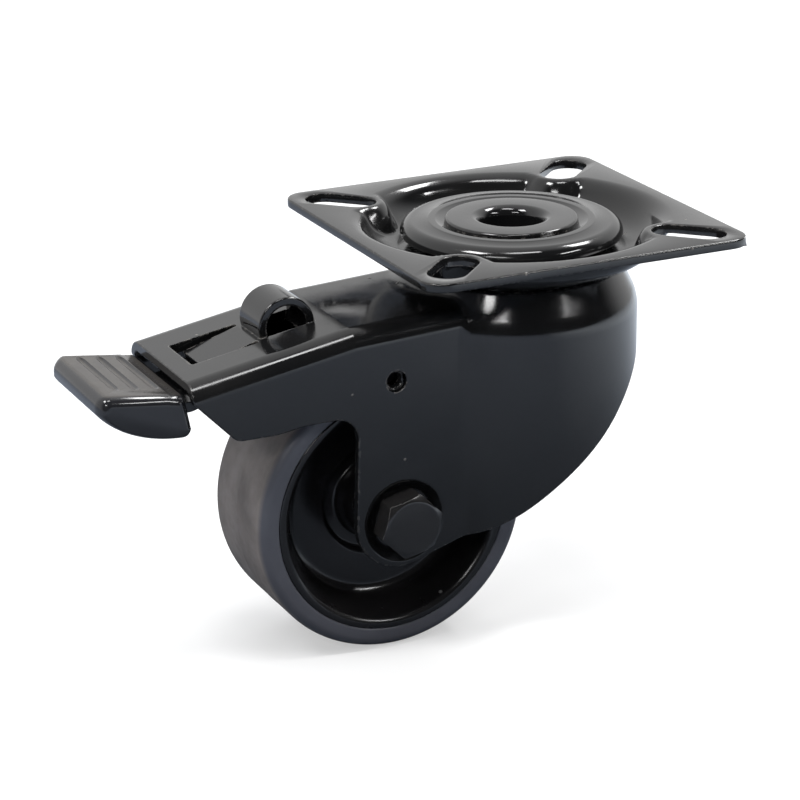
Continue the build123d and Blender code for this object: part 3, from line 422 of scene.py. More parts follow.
faces_up = [point.normal.z > 0 for point in plate.data.vertices]
for point, on_top in zip(plate.data.vertices, faces_up):
    x, y, z = point.co / MM
    if bowl_floor_r < math.hypot(x, y) < lip_centre_r:
        flange_z = 0.0 if on_top else -plate_sheet
        pad = pad_height(x, y, pad_flat_r if on_top else pad_under_flat_r) + flange_z
        point.co.z = min(lift(z, pad), flange_z) * MM
plate.data.update()
print("pads stand", round(pad_centre_r, 1), "mm from the middle")

# %% Helpers for cutting
def stack(outline, levels):
    """A solid of one outline at several (growth, height) levels; outline(growth) gives its points."""
    bpy.ops.object.select_all(action="DESELECT")
    points = outline(levels[0][0])
    bpy.ops.mesh.primitive_circle_add(vertices=len(points), radius=MM, fill_type="NGON")
    solid = bpy.context.object
    for point, (x, y) in zip(solid.data.vertices, points):
        point.co = Vector((x, y, levels[0][1])) * MM
    for growth, height in levels[1:]:
        bpy.ops.object.mode_set(mode="EDIT")
        if len(solid.data.polygons) == 1:
            bpy.ops.mesh.select_all(action="SELECT")
        bpy.ops.mesh.extrude_region()
        bpy.ops.object.mode_set(mode="OBJECT")
        grown = outline(growth)
        for point in solid.data.vertices:
            if point.select:
                here = (point.co.x / MM, point.co.y / MM)
                near = min(range(len(points)), key=lambda i: math.dist(points[i], here))
                point.co = Vector((*grown[near], height)) * MM
        points = grown
    clean(solid)
    return solid


def carve(piece, tool, operation):
    """Cuts a piece with a tool, or joins or keeps what they share, and deletes the tool."""
    apply_modifier(piece, "BOOLEAN", operation=operation, object=tool, solver="MANIFOLD")
    bpy.data.objects.remove(tool)


def rounded_box(half_x, half_y, radius, steps=8):
    """Corner points of a rounded rectangle, anticlockwise."""
    corners = ((1, 1, 0), (-1, 1, 90), (-1, -1, 180), (1, -1, 270))
    points = []
    for sx, sy, turn in corners:
        centre = (sx * (half_x - radius), sy * (half_y - radius))
        points += arc(centre, radius, turn, turn + 90, steps)
    return points

# %% Trim the square
well_below, well_above = -10.0, 5.0
square = stack(lambda growth: rounded_box(plate_side / 2, plate_side / 2, plate_corner_r),
               [(0.0, well_below), (0.0, well_above)])
carve(plate, square, "INTERSECT")


def on_rim(middle, along):
    """True for the level edges round the plate's outside, above and below."""
    near = 0.05
    straight = plate_side / 2 - plate_corner_r
    outside = math.hypot(max(abs(middle.x) - straight, 0.0), max(abs(middle.y) - straight, 0.0))
    return outside > plate_corner_r - near and abs(along.z) < 0.01


choose_edges(plate, on_rim)
bpy.ops.mesh.bevel(offset=rim_r * MM, segments=3, profile=0.5, clamp_overlap=False, affect="EDGES")
bpy.ops.object.mode_set(mode="OBJECT")
print("plate trimmed:", len(plate.data.polygons))

# %% [markdown]
# A slot cutter is a flat-ended prism with a collar that widens through the sheet's top face, so
# that the cut leaves a small chamfer, as the press and the paint do.

# %% Cut the slots
def slot_outline(growth):
    """Outline of a slot that lies along X, larger all round by this growth."""
    end_r = slot_width / 2 + growth
    return (arc((slot_centre_r + slot_travel / 2, 0.0), end_r, -90, 90, 14)
            + arc((slot_centre_r - slot_travel / 2, 0.0), end_r, 90, 270, 14))


mouth = [(0.0, well_below), (0.0, -rim_r), (0.08, -0.11), (rim_r, 0.02), (rim_r + 0.3, 0.1)]
for number in range(4):
    cutter = stack(slot_outline, mouth)
    bpy.ops.transform.rotate(value=math.radians(45 + 90 * number), orient_axis="Z",
                             center_override=(0, 0, 0))
    set_place()
    carve(plate, cutter, "DIFFERENCE")
clean(plate)
finish(plate, "top_plate_pressed", "plate", "top_plate")

# %% [markdown]
# ## The race cap and the kingpin
# The cap is a dished steel ring that closes the upper ball race, and the kingpin is a tube whose
# end is rolled over it. Both are round, so both are spun here from one closed section. Each corner
# of a section is an arc, because a painted steel edge always shines as a thin line.

# %% Turn the race cap
cap_bore_r = 6.85
cap_r = 19.1
cap_top_z = -0.5
cap_sheet = 1.5
cap_rim_r = 2.1
cap_edge_r, cap_edge_z = 0.4, -2.6
crown_from_r, crown_to_r = 13.25, 14.1
crown_bend_r, crown_bend_z = 0.8, -1.15
seat_r = 11.8
seat_z = -0.85
neck_r = 8.35
neck_bottom_z = -9.1
neck_edge_r = 0.2
cap_under_z = cap_top_z - cap_sheet
seat_under_z = seat_z - cap_sheet
race_start = math.degrees(math.asin((cap_under_z - upper_ball_z) / upper_race_r))
race_end = 180 - math.degrees(math.asin((seat_under_z - upper_ball_z) / upper_race_r))
rim_centre = (cap_r - cap_rim_r, cap_top_z - cap_rim_r)
neck_edge_z = neck_bottom_z + neck_edge_r

section = arc((cap_bore_r + neck_edge_r, neck_edge_z), neck_edge_r, -90, -180, 3)
section += [(cap_bore_r, seat_z), (seat_r, seat_z)]
section += arc((crown_from_r, crown_bend_z), crown_bend_r, 112, 90, 4)
section += arc((crown_to_r, crown_bend_z), crown_bend_r, 90, 62, 5)
section += arc(rim_centre, cap_rim_r, 90, 0, 16)
section += arc((cap_r - cap_edge_r, cap_edge_z), cap_edge_r, 0, -90, 5)
section += arc((cap_r - cap_sheet + cap_edge_r, cap_edge_z), cap_edge_r, -90, -180, 5)
section += arc(rim_centre, cap_rim_r - cap_sheet, 0, 90, 6)
section += arc((upper_track_r, upper_ball_z), upper_race_r, race_start, race_end, 10)
section += [(neck_r, seat_under_z)]
section += arc((neck_r - neck_edge_r, neck_edge_z), neck_edge_r, 0, -90, 3)
cap = lathe(section, steps=192)
finish(cap, "race_cap_painted", "swivel_head", "race_cap")

# %% Turn the kingpin
flange_r = 11.4
flange_top_z = -0.05
flange_edge_r = 0.45
kingpin_bore_r = 5.3
kingpin_lip_r = 7.0
shank_r = 6.8
flare_r = 9.5
flare_edge_r = 0.6
head_under_z = -10.8
kingpin_bottom_z = -12.3
funnel_r = kingpin_lip_r - kingpin_bore_r

section = arc((kingpin_lip_r, flange_top_z - funnel_r), funnel_r, 180, 90, 14)
section += arc((flange_r - flange_edge_r, flange_top_z - flange_edge_r), flange_edge_r, 90, 0, 6)
section += [(flange_r, seat_z), (shank_r, seat_z), (shank_r, head_under_z), (flare_r, head_under_z)]
section += arc((flare_r - flare_edge_r, kingpin_bottom_z + flare_edge_r), flare_edge_r, 0, -90, 6)
section += arc((kingpin_lip_r, kingpin_bottom_z + funnel_r), funnel_r, -90, -180, 14)
kingpin = lathe(section, steps=160)
finish(kingpin, "kingpin_painted", "swivel_head", "kingpin_rivet")

# %% [markdown]
# ## The wheel
# The hub is moulded in hard black plastic and the soft tyre is moulded on to it. A mould needs
# draft, so no wall is quite upright, and every corner is rounded for the melt to flow. Half a
# section is written down and its mirror image completes it, because the wheel has no front side.

# %% Turn the hub
axle = (-27.4, 0.0, -46.0)
wheel_r = 24.6
tyre_half = 10.2
tyre_depth = 3.45
hub_rim_r = wheel_r - tyre_depth
rim_wall = 2.0
rim_inner_r = hub_rim_r - rim_wall
barrel_r = 6.7
barrel_half = tyre_half + 1.0
hub_bore_r = 4.56
web_half = 2.7
recess_r = 9.6
recess_half = 1.2
key_r = hub_rim_r + 1.4
key_half = 4.5
key_bevel = 0.5
bore_edge_r, barrel_edge_r, barrel_foot_r, barrel_draft = 0.4, 0.6, 0.7, 0.3
recess_foot_r, recess_edge_r, recess_draft = 0.5, 0.7, 0.1
web_fillet_r, rim_edge_r, rim_lip_r, rim_draft = 2.6, 1.35, 0.3, 1.4
barrel_foot = (barrel_r + barrel_draft + barrel_foot_r, recess_half + barrel_foot_r)
recess_foot = (recess_r - recess_draft - recess_foot_r, recess_half + recess_foot_r)
web_fillet = (rim_inner_r - rim_draft - web_fillet_r, web_half + web_fillet_r)


def both_sides(half):
    """A closed section from its half on the far side and that half's mirror image."""
    return half + [(radius, -height) for radius, height in reversed(half)]


half = arc((hub_bore_r + bore_edge_r, barrel_half - bore_edge_r), bore_edge_r, 180, 90, 5)
half += arc((barrel_r - barrel_edge_r, barrel_half - barrel_edge_r), barrel_edge_r, 90, 0, 6)
half += arc(barrel_foot, barrel_foot_r, 180, 270, 8)
half += arc(recess_foot, recess_foot_r, -90, 0, 5)
half += arc((recess_r + recess_edge_r, web_half - recess_edge_r), recess_edge_r, 180, 90, 6)
half += arc(web_fillet, web_fillet_r, -90, -14, 12)
half += arc((rim_inner_r + rim_edge_r, tyre_half - rim_edge_r), rim_edge_r, 166, 90, 12)
half += arc((hub_rim_r - rim_lip_r, tyre_half - rim_lip_r), rim_lip_r, 90, 0, 4)
half += [(hub_rim_r, key_half), (key_r, key_half - key_bevel)]
hub = lathe(both_sides(half), centre=axle, along="Y", steps=224)
finish(hub, "wheel_hub_moulded", "wheel", "wheel_hub")

# %% Turn the tyre
tread_edge_r = 1.8
tyre_lip_r = 0.25
parting_half = 0.35
parting_rise = 0.03
half = [(key_r, key_half - key_bevel), (hub_rim_r, key_half), (hub_rim_r, tyre_half - tyre_lip_r)]
half += arc((hub_rim_r + tyre_lip_r, tyre_half - tyre_lip_r), tyre_lip_r, 180, 90, 4)
half += arc((wheel_r - tread_edge_r, tyre_half - tread_edge_r), tread_edge_r, 86, 0, 14)
half += [(wheel_r, parting_half), (wheel_r + parting_rise, 0.1)]
tyre = lathe(both_sides(half), centre=axle, along="Y", steps=256)
finish(tyre, "tyre_moulded", "wheel", "tyre")

# %% [markdown]
# ## The axle bolt and its nut
# A hexagon head is forged round and hexagonal at once: its corners are turned off to a cone, and
# the cone meets the flats in six curves. So a turned blank is kept only where it lies inside a
# hexagonal prism. The thread is a real helix: one tooth wound up by the screw modifier, trimmed by
# the pointed end of the bolt and joined to the core.

# %% Forge a hexagon
head_flats = 10.0
hexagon_corner_r = 0.35
head_turn = 14.8
head_height = 4.3
washer_height = 0.6
leg_face_y = 13.0
blank_r = 6.3


def hexagon(growth):
    """Outline of a hexagon with slightly rounded corners."""
    reach = (head_flats / 2 - hexagon_corner_r) / math.cos(math.radians(30)) + growth
    points = []
    for turn in range(0, 360, 60):
        centre = (reach * math.cos(math.radians(turn)), reach * math.sin(math.radians(turn)))
        points += arc(centre, hexagon_corner_r, turn - 30, turn + 30, 6)
    return points


def forge(section, near_y, far_y, turn):
    """A turned blank round the axle that is trimmed by a hexagonal prism."""
    blank = lathe(section, centre=axle, along="Y", steps=144)
    prism = stack(hexagon, [(0.0, near_y - 1.0), (0.0, far_y + 1.0)])
    prism.rotation_euler = (math.radians(-90), 0.0, 0.0)
    set_place()
    prism.rotation_euler = (0.0, math.radians(turn), 0.0)
    prism.location = Vector(axle) * MM
    set_place()
    carve(blank, prism, "INTERSECT")
    return blank


head_y = -leg_face_y - washer_height
front_y = head_y - head_height
cone = [(0.0, 0.0), (4.3, 0.0), (4.6, 0.03), (4.85, 0.12), (blank_r, 0.95)]
section = [(radius, front_y + drop) for radius, drop in cone]
section += [(blank_r, head_y - 0.35), (blank_r - 0.6, head_y), (0.0, head_y)]
bolt = forge(section, front_y, head_y, -head_turn)
print("bolt head faces:", len(bolt.data.polygons))

# %% Wind the thread
pitch = 1.0
thread_turns = 13
bolt_r = 3.0
root_r = 2.42
crest_r = 2.94
sunk_r = 2.3
end_y = 22.0
thread_y = 11.0
tooth_y = 10.0
point_y = end_y - 0.03


def wind(tooth, turns, rise):
    """Winds a closed tooth section of (radius, y) points round the axle and closes both ends."""
    bpy.ops.object.select_all(action="DESELECT")
    bpy.ops.mesh.primitive_circle_add(vertices=len(tooth), radius=MM, fill_type="NOTHING")
    thread = bpy.context.object
    for point, (radius, height) in zip(thread.data.vertices, tooth):
        point.co = Vector((radius, 0.0, height)) * MM
    apply_modifier(thread, "SCREW", axis="Z", angle=2 * math.pi, screw_offset=rise * MM,
                   iterations=turns, steps=64, render_steps=64, use_smooth_shade=False)
    bpy.ops.object.mode_set(mode="EDIT")
    bpy.ops.mesh.select_all(action="DESELECT")
    bpy.ops.mesh.select_mode(type="EDGE")
    bpy.ops.mesh.select_non_manifold(extend=False)
    bpy.ops.mesh.edge_face_add()
    bpy.ops.object.mode_set(mode="OBJECT")
    thread.rotation_euler = (math.radians(-90), 0.0, 0.0)
    thread.location = Vector(axle) * MM
    set_place()
    clean(thread)
    return thread


tooth = [(sunk_r, tooth_y - 0.46), (sunk_r, tooth_y + 0.46), (root_r, tooth_y + 0.44),
         (crest_r, tooth_y + 0.09), (crest_r, tooth_y - 0.09), (root_r, tooth_y - 0.44)]
thread = wind(tooth, thread_turns, pitch)
section = [(0.0, thread_y - 1.5), (bolt_r - 0.03, thread_y - 1.5), (bolt_r - 0.03, end_y - 0.6)]
section += [(root_r - 0.1, point_y), (0.0, point_y)]
carve(thread, lathe(section, centre=axle, along="Y", steps=128), "INTERSECT")
print("thread faces:", len(thread.data.polygons))

# %% Join head, shank and thread
washer_r = 4.8
washer_bevel = 0.1
point_r = 0.45
section = [(0.0, head_y - 1.0), (4.0, head_y - 1.0), (4.0, head_y - 0.2)]
section += [(washer_r - washer_bevel, head_y - washer_bevel), (washer_r, head_y)]
section += [(washer_r, -leg_face_y - washer_bevel), (washer_r - washer_bevel, -leg_face_y)]
section += [(bolt_r, -leg_face_y), (bolt_r, thread_y - 0.4)]
section += [(root_r, thread_y + 0.2), (root_r, end_y - 0.55)]
section += arc((root_r - point_r, end_y - point_r), point_r, 0, 90, 5) + [(0.0, end_y)]
carve(bolt, lathe(section, centre=axle, along="Y", steps=144), "UNION")
carve(bolt, thread, "UNION")
clean(bolt)
finish(bolt, "axle_bolt_forged", "swivel_head", "axle_bolt")

# %% Forge the nut
nut_hex_y = leg_face_y + washer_height
collar_r, collar_y = 4.8, 17.2
nut_end_y = 19.0
lip_bend_r, lip_edge_r = 0.7, 0.2
lip_bore_r = 3.42
insert_r = 4.0
insert_y = 18.4
insert_play = 0.02
section = [(bolt_r, leg_face_y), (washer_r - washer_bevel, leg_face_y)]
section += [(washer_r, leg_face_y + washer_bevel), (washer_r, nut_hex_y), (5.6, nut_hex_y)]
section += [(blank_r, nut_hex_y + 0.4), (blank_r, collar_y - 1.0)]
section += [(collar_r + 0.05, collar_y - 0.1), (collar_r, collar_y)]
section += arc((collar_r - lip_bend_r, nut_end_y - lip_bend_r), lip_bend_r, 0, 90, 8)
section += arc((lip_bore_r + lip_edge_r, nut_end_y - lip_edge_r), lip_edge_r, 90, 180, 4)
section += [(lip_bore_r, insert_y + insert_play), (insert_r, insert_y + insert_play)]
section += [(insert_r, collar_y), (bolt_r, collar_y)]
nut = forge(section, leg_face_y, nut_end_y, 0.0)
clean(nut)
finish(nut, "axle_nut_forged", "swivel_head", "axle_nut")

# %% Turn the nylon ring
foot_edge_r, top_edge_r = 0.2, 0.25
section = arc((bolt_r + foot_edge_r, collar_y + foot_edge_r), foot_edge_r, 180, 270, 3)
section += [(insert_r - insert_play, collar_y), (insert_r - insert_play, insert_y - insert_play)]
section += arc((bolt_r + top_edge_r, insert_y - top_edge_r), top_edge_r, 90, 180, 4)
insert = lathe(section, centre=axle, along="Y", steps=96)
finish(insert, "nut_insert_ring", "swivel_head", "nut_insert")

# %% [markdown]
# ## The shoe's rivets
# Two rivets hold the leaf spring that rubs on the tyre. A closed rivet has a domed head on both
# sides. They stand square on the lever's web, which leans a little, so they are spun upright at the
# origin, then tipped and moved to their places, and joined into one object.

# %% Set the shoe's rivets
lever_rise, lever_run = 2.5, 34.5
lever_lean = math.atan2(lever_rise, lever_run)
rivet_x, rivet_z, rivet_side = -31.0, -17.95, 4.0
upper_seat = 0.9
lower_seat = upper_seat + 1.0
rivet_head_r, rivet_shank_r, rivet_edge = 2.6, 1.45, 0.12
dome_r, dome_rise = 3.6, 0.8
dome_turn = math.degrees(math.asin(rivet_head_r / dome_r))

upper = arc((0.0, upper_seat + dome_rise - dome_r), dome_r, 90, 90 - dome_turn, 8)
lower = arc((0.0, dome_r - lower_seat - dome_rise), dome_r, dome_turn - 90, -90, 8)
section = [(radius, max(height, upper_seat + rivet_edge)) for radius, height in upper]
section += [(rivet_head_r, upper_seat), (rivet_shank_r, upper_seat)]
section += [(rivet_shank_r, -lower_seat), (rivet_head_r, -lower_seat)]
section += [(radius, min(height, -lower_seat - rivet_edge)) for radius, height in lower]
rivets = []
for side in (-rivet_side, rivet_side):
    rivet = lathe(section, steps=64)
    rivet.rotation_euler = (0.0, -lever_lean, 0.0)
    rivet.location = Vector((rivet_x, side, rivet_z)) * MM
    set_place()
    rivets.append(rivet)
pick(rivets[0])
rivets[1].select_set(True)
bpy.ops.object.join()
finish(rivets[0], "shoe_rivets_domed", "brake", "shoe_rivets")

# %% [markdown]
# ## The lever's studs
# The lever hangs on two studs that are half punched out of its ears, and a punch leaves a round pit
# in the end of each stud. The lever itself is a plain stamping whose engineering mesh is already
# right, so a copy of it is taken, its doubled points are merged and the pits are sunk into it.

# %% Sink the stud pits
pit_bottom_y = 12.1
stud_centre = (-28.7, 0.0, -21.0)
punch = [(0.0, 0.0), (1.05, 0.0), (1.25, 0.15), (1.42, 1.6), (1.6, 2.2), (0.0, 2.2)]
pick(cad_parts["brake_lever"])
bpy.ops.object.duplicate()
lever = bpy.context.object
clean(lever)
for way in (-1, 1):
    section = [(radius, way * (pit_bottom_y + depth)) for radius, depth in punch]
    carve(lever, lathe(section, centre=stud_centre, along="Y", steps=48), "DIFFERENCE")
finish(lever, "brake_lever_pressed", "brake", "brake_lever")

# %% [markdown]
# ## The foot pedal
# The pedal is a solid plastic moulding that is pressed on to the lever's tang. Seen from the side
# it is a wedge with a round nose, so its side outline is stacked from one side to the other, drawn
# in a little at both ends. That rounds every long edge at once, where a bevel would get tangled in
# the short steps of the curves. The grip grooves are cut by rollers with tapering ends.

# %% Draw the pedal's side
pedal_front_x = -79.7
pedal_front_top_z = -16.6
pedal_front_low_z = -19.6
pedal_under_z = -25.75
pedal_slope = 0.125
ridge_x = -67.4
rear_x = -64.95
front_edge_r, heel_r, rear_edge_r = 1.9, 1.6, 0.8


def pedal_top(x):
    """Height of the tread at x."""
    return pedal_front_top_z - pedal_slope * (x - pedal_front_x)


def between_points(points, share):
    """A point on a Bezier curve through its control points."""
    while len(points) > 1:
        points = [(a[0] + (b[0] - a[0]) * share, a[1] + (b[1] - a[1]) * share)
                  for a, b in zip(points, points[1:])]
    return points[0]


def rounded_corner(before, corner, after, radius, steps):
    """Points of an arc that rounds a corner."""
    here = Vector(corner)
    back, on = (Vector(before) - here).normalized(), (Vector(after) - here).normalized()
    half_turn = back.angle(on) / 2
    middle = here + (back + on).normalized() * (radius / math.sin(half_turn))
    first, last = (here + way * (radius / math.tan(half_turn)) - middle for way in (back, on))
    turn = first.angle_signed(last)
    return [tuple(middle + Matrix.Rotation(-turn * i / steps, 2) @ first) for i in range(steps + 1)]


ridge = (ridge_x, pedal_top(ridge_x))
nose, low_front = (pedal_front_x, pedal_front_top_z), (pedal_front_x, pedal_front_low_z)
rear_top = (rear_x, pedal_top(rear_x) - 0.1)
heel, bottom = (-63.6, pedal_under_z), (-65.1, pedal_under_z)
belly = [low_front, (-78.6, -21.8), (-73.0, pedal_under_z), bottom]
side = [(ridge_x + 0.2, ridge[1] - 0.14), ridge]
side += rounded_corner(ridge, nose, low_front, front_edge_r, 14)
side += [between_points(belly, i / 22) for i in range(22)]
side += rounded_corner(bottom, heel, rear_top, heel_r, 8)
side += rounded_corner(heel, rear_top, side[0], rear_edge_r, 5)
print("points in the side outline:", len(side))

# %% Stack the pedal
pedal_half = 12.0
near_side_r = 1.7
far_side_r = 0.6
plan_r = 2.4
plan_from_x = -74.0


def inset(points, amount):
    """The same outline drawn in by an amount where it faces up, and by less where it faces down."""
    drawn = []
    for i, here in enumerate(points):
        here = Vector(here)
        before, after = Vector(points[i - 1]), Vector(points[(i + 1) % len(points)])
        normals = [Vector((-d.y, d.x)).normalized() for d in (here - before, after - here)]
        middle = (normals[0] + normals[1]).normalized()
        share = 0.4 + 0.6 * max(-middle.y, 0.0) ** 0.5
        drawn.append(tuple(here + middle * (amount * share / max(middle.dot(normals[0]), 0.5))))
    return drawn


def sagitta(radius, depth):
    """How far a rounded edge of this radius has drawn in at a depth below its face."""
    return radius - math.sqrt(radius ** 2 - max(radius - depth, 0.0) ** 2)


def pedal_outline(level):
    """Side outline at a level of (depth below the side face, edge radius), round in front."""
    depth, side_r = level
    drawn_in = sagitta(side_r, depth)
    pulled = max(sagitta(plan_r, depth) - drawn_in, 0.0)
    points = []
    for x, z in inset(side, drawn_in):
        share = max((plan_from_x - x) / (plan_from_x - pedal_front_x), 0.0)
        points.append((x + pulled * share ** 2, z))
    return points


depths = [plan_r * (1 - math.cos(math.radians(9 * i))) for i in range(11)]
levels = [((depth, far_side_r), depth - pedal_half) for depth in depths]
levels += [((depth, near_side_r), pedal_half - depth) for depth in depths[::-1]]
pedal = stack(pedal_outline, levels)
pedal.rotation_euler = (math.radians(90), 0.0, 0.0)
set_place()
clean(pedal)
print("pedal faces:", len(pedal.data.polygons))

# %% Cut the grooves and the socket
groove_x, groove_pitch = -75.1, 3.4
groove_y, groove_length = -7.6, 18.2
roller_lift = 0.52
roller = [(0.0, -0.7), (0.5, -0.25), (0.78, 0.5), (0.9, 1.5)]
roller += [(radius, groove_length - y) for radius, y in reversed(roller)]
for number in range(3):
    x = groove_x + groove_pitch * number
    cutter = lathe(roller, centre=(x, groove_y, pedal_top(x) + roller_lift), along="Y", steps=48)
    carve(pedal, cutter, "DIFFERENCE")

socket_x, socket_from_z, socket_to_z = -76.2, -22.8, -21.0
socket_half_x, socket_half_y, socket_corner_r = 7.0, 8.0, 0.3
socket = stack(lambda growth: rounded_box(socket_half_x, socket_half_y, socket_corner_r, 3),
               [(0.0, socket_from_z), (0.0, socket_to_z)])
socket.location.x = (socket_x + socket_half_x) * MM
set_place()
carve(pedal, socket, "DIFFERENCE")
clean(pedal)
finish(pedal, "brake_pedal_moulded", "brake", "brake_pedal", angle=30.0)

# %% [markdown]
# ## Surfaces
# Nearly everything here is black, and black shows little of its own colour: what the eye reads is
# gloss, the small unevenness of the skin, and the dust that gathers on it. So each finish gets a
# soft bump, patches that are a little rougher, and a few specks. Patterns follow the piece's own
# coordinates in metres, so a scale of 1000 draws marks about a millimetre wide.

# %% Pattern helpers
def new_finish(name, colour, roughness, metal=0.0, ior=1.5):
    """A material with one shader, whose even values are set on the shader itself."""
    made = bpy.data.materials.new(name)
    made.use_nodes = True
    shader = made.node_tree.nodes["Principled BSDF"]
    shader.inputs["Base Color"].default_value = (*colour, 1.0)
    shader.inputs["Roughness"].default_value = roughness
    shader.inputs["Metallic"].default_value = metal
    shader.inputs["IOR"].default_value = ior
    return made


def place(tree, shift=(0.0, 0.0, 0.0), stretch=(1.0, 1.0, 1.0)):
    """The piece's own coordinates, shifted and stretched."""
    own = node(tree, "ShaderNodeTexCoord").outputs["Object"]
    inputs = {"Vector": own, "Scale": stretch, "Location": shift}
    return node(tree, "ShaderNodeMapping", inputs).outputs[0]


def noise(tree, scale, detail=2.0, **where):
    """A noise pattern from 0 to 1."""
    inputs = {"Vector": place(tree, **where), "Scale": scale, "Detail": detail}
    return node(tree, "ShaderNodeTexNoise", inputs).outputs["Fac"]


def specks(tree, scale, share, size=0.15):
    """A mask with scattered specks: 1 on a speck and 0 off it."""
    shifted = place(tree, shift=(0.013, 0.007, 0.021))
    cells = node(tree, "ShaderNodeTexVoronoi", {"Vector": shifted, "Scale": scale}).outputs
    chance = node(tree, "ShaderNodeSeparateColor", {"Color": cells["Color"]}).outputs[0]
    dots = between(tree, cells["Distance"], size * 0.6, size, 1.0, 0.0)
    return maths(tree, "MULTIPLY", dots, maths(tree, "LESS_THAN", chance, share))


def soft_edges(tree, radius):
    """Normals that are rounded over edges by a radius in mm."""
    return node(tree, "ShaderNodeBevel", {"Radius": radius * MM}, samples=6).outputs[0]


def worn_and_highlit_edges(tree, radius, low, high):
    """A mask that is 1 on sharp edges, broken up by noise: worn edges and a painted edge highlight."""
    flat = node(tree, "ShaderNodeNewGeometry").outputs["Normal"]
    turn = node(tree, "ShaderNodeVectorMath", {0: soft_edges(tree, radius), 1: flat},
                operation="DOT_PRODUCT").outputs["Value"]
    broken = between(tree, noise(tree, 900.0, 4.0), low, high)
    return maths(tree, "MULTIPLY", between(tree, turn, 0.995, 0.9), broken)


def skin(finished, colour, rough, layers, edge_r=0.0):
    """Links a colour, a roughness and layers of (pattern, height in mm), over edges of edge_r mm."""
    tree = finished.node_tree
    shader = tree.nodes["Principled BSDF"]
    tree.links.new(colour, shader.inputs["Base Color"])
    tree.links.new(rough, shader.inputs["Roughness"])
    normal = soft_edges(tree, edge_r) if edge_r else None
    for pattern, height in layers:
        bump = node(tree, "ShaderNodeBump", {"Height": pattern, "Distance": height * MM})
        if normal:
            tree.links.new(normal, bump.inputs["Normal"])
        normal = bump.outputs[0]
    tree.links.new(normal, shader.inputs["Normal"])
    print(finished.name, "has", len(tree.nodes), "nodes")

# %% [markdown]
# Electrophoretic black paint is thin and glossy. It keeps the waves of the pressed sheet below it,
# pulls back a little from sharp edges, and there the edge wears to grey, a grey that also stands as a
# painted highlight along the edges. Turned pieces have their rounded edges in the mesh, so only the
# pressed sheets need theirs rounded in the paint.

# %% Black painted steel
def black_paint(name, edge_r):
    """Gloss black paint on pressed steel, with its edges rounded by edge_r mm."""
    paint = new_finish(name, (0.006, 0.0062, 0.0068), 0.1, ior=1.54)
    tree = paint.node_tree
    dust = specks(tree, 420.0, 0.03)
    # Sharp edges turn grey: worn paint that also serves as a painted edge highlight.
    dust_wear_and_highlight = maths(tree, "MAXIMUM", dust, worn_and_highlit_edges(tree, 0.5, 0.48, 0.6))
    tone = mixed(tree, noise(tree, 60.0, 3.0), (0.0045, 0.005, 0.006), (0.009, 0.0085, 0.008))
    smudge = between(tree, noise(tree, 130.0, 5.0), 0.35, 0.7, 0.07, 0.2)
    rough = maths(tree, "ADD", smudge, between(tree, dust_wear_and_highlight, 0.0, 1.0, 0.0, 0.4))
    layers = [(noise(tree, 55.0), 0.06), (noise(tree, 700.0), 0.0025), (noise(tree, 3200.0), 0.0018),
              (dust, 0.03)]
    skin(paint, mixed(tree, dust_wear_and_highlight, tone, (0.13, 0.12, 0.11)), rough, layers, edge_r)
    return paint


paint_on_sheet = black_paint("black_paint_on_sheet", 0.25)
paint_on_turning = black_paint("black_paint_on_turning", 0.0)

# %% [markdown]
# The bolt and the nut are blackened rather than painted: a thinner, duller skin in which the marks
# of forging and of the thread roller still show.

# %% Blackened bolts
black_oxide = new_finish("black_oxide", (0.012, 0.012, 0.013), 0.24, ior=1.54)
tree = black_oxide.node_tree
tone = mixed(tree, noise(tree, 300.0, 4.0), (0.008, 0.008, 0.009), (0.022, 0.021, 0.02))
# Sharp edges turn grey: wear, and also a painted highlight along them.
wear_and_highlight = worn_and_highlit_edges(tree, 0.25, 0.42, 0.6)
rough = between(tree, noise(tree, 260.0, 5.0), 0.3, 0.75, 0.1, 0.2)
layers = [(noise(tree, 160.0, 3.0), 0.03), (noise(tree, 1500.0, 3.0), 0.004)]
skin(black_oxide, mixed(tree, wear_and_highlight, tone, (0.1, 0.095, 0.09)), rough, layers, 0.12)

# %% [markdown]
# Bare metals differ in how they were finished: balls are lapped to a mirror and oiled, the sleeve
# and the rivets have a dull zinc skin with spangles, and the spring leaf keeps the blue-grey of its
# hardening with fine rolling lines along it.

# %% Bare metals
ball_steel = new_finish("ball_steel", (0.6, 0.6, 0.61), 0.1, metal=1.0)
tree = ball_steel.node_tree
oil = noise(tree, 240.0, 3.0)
tone = mixed(tree, oil, (0.42, 0.4, 0.37), (0.62, 0.62, 0.63))
skin(ball_steel, tone, between(tree, oil, 0.3, 0.7, 0.08, 0.22), [(noise(tree, 900.0), 0.002)])

zinc = new_finish("zinc_plate", (0.5, 0.5, 0.51), 0.35, metal=1.0)
tree = zinc.node_tree
spangle = noise(tree, 350.0, 4.0)
tone = mixed(tree, spangle, (0.36, 0.36, 0.36), (0.58, 0.58, 0.6))
rough = between(tree, spangle, 0.3, 0.7, 0.26, 0.45)
skin(zinc, tone, rough, [(noise(tree, 1200.0, 3.0), 0.004)], 0.15)

spring_leaf = new_finish("spring_leaf", (0.2, 0.2, 0.22), 0.35, metal=1.0)
tree = spring_leaf.node_tree
lines = noise(tree, 1800.0, 3.0, stretch=(0.05, 1.0, 0.05))
tone = mixed(tree, noise(tree, 150.0, 3.0), (0.12, 0.12, 0.14), (0.27, 0.26, 0.25))
skin(spring_leaf, tone, between(tree, lines, 0.3, 0.7, 0.28, 0.45), [(lines, 0.004)], 0.15)

# %% [markdown]
# The hub is a glossy hard plastic with faint sink marks over its thick parts. The tyre is a dull
# grey rubber: the tread is scuffed brown where it rolls, while the sides keep the bluish black of
# fresh rubber.

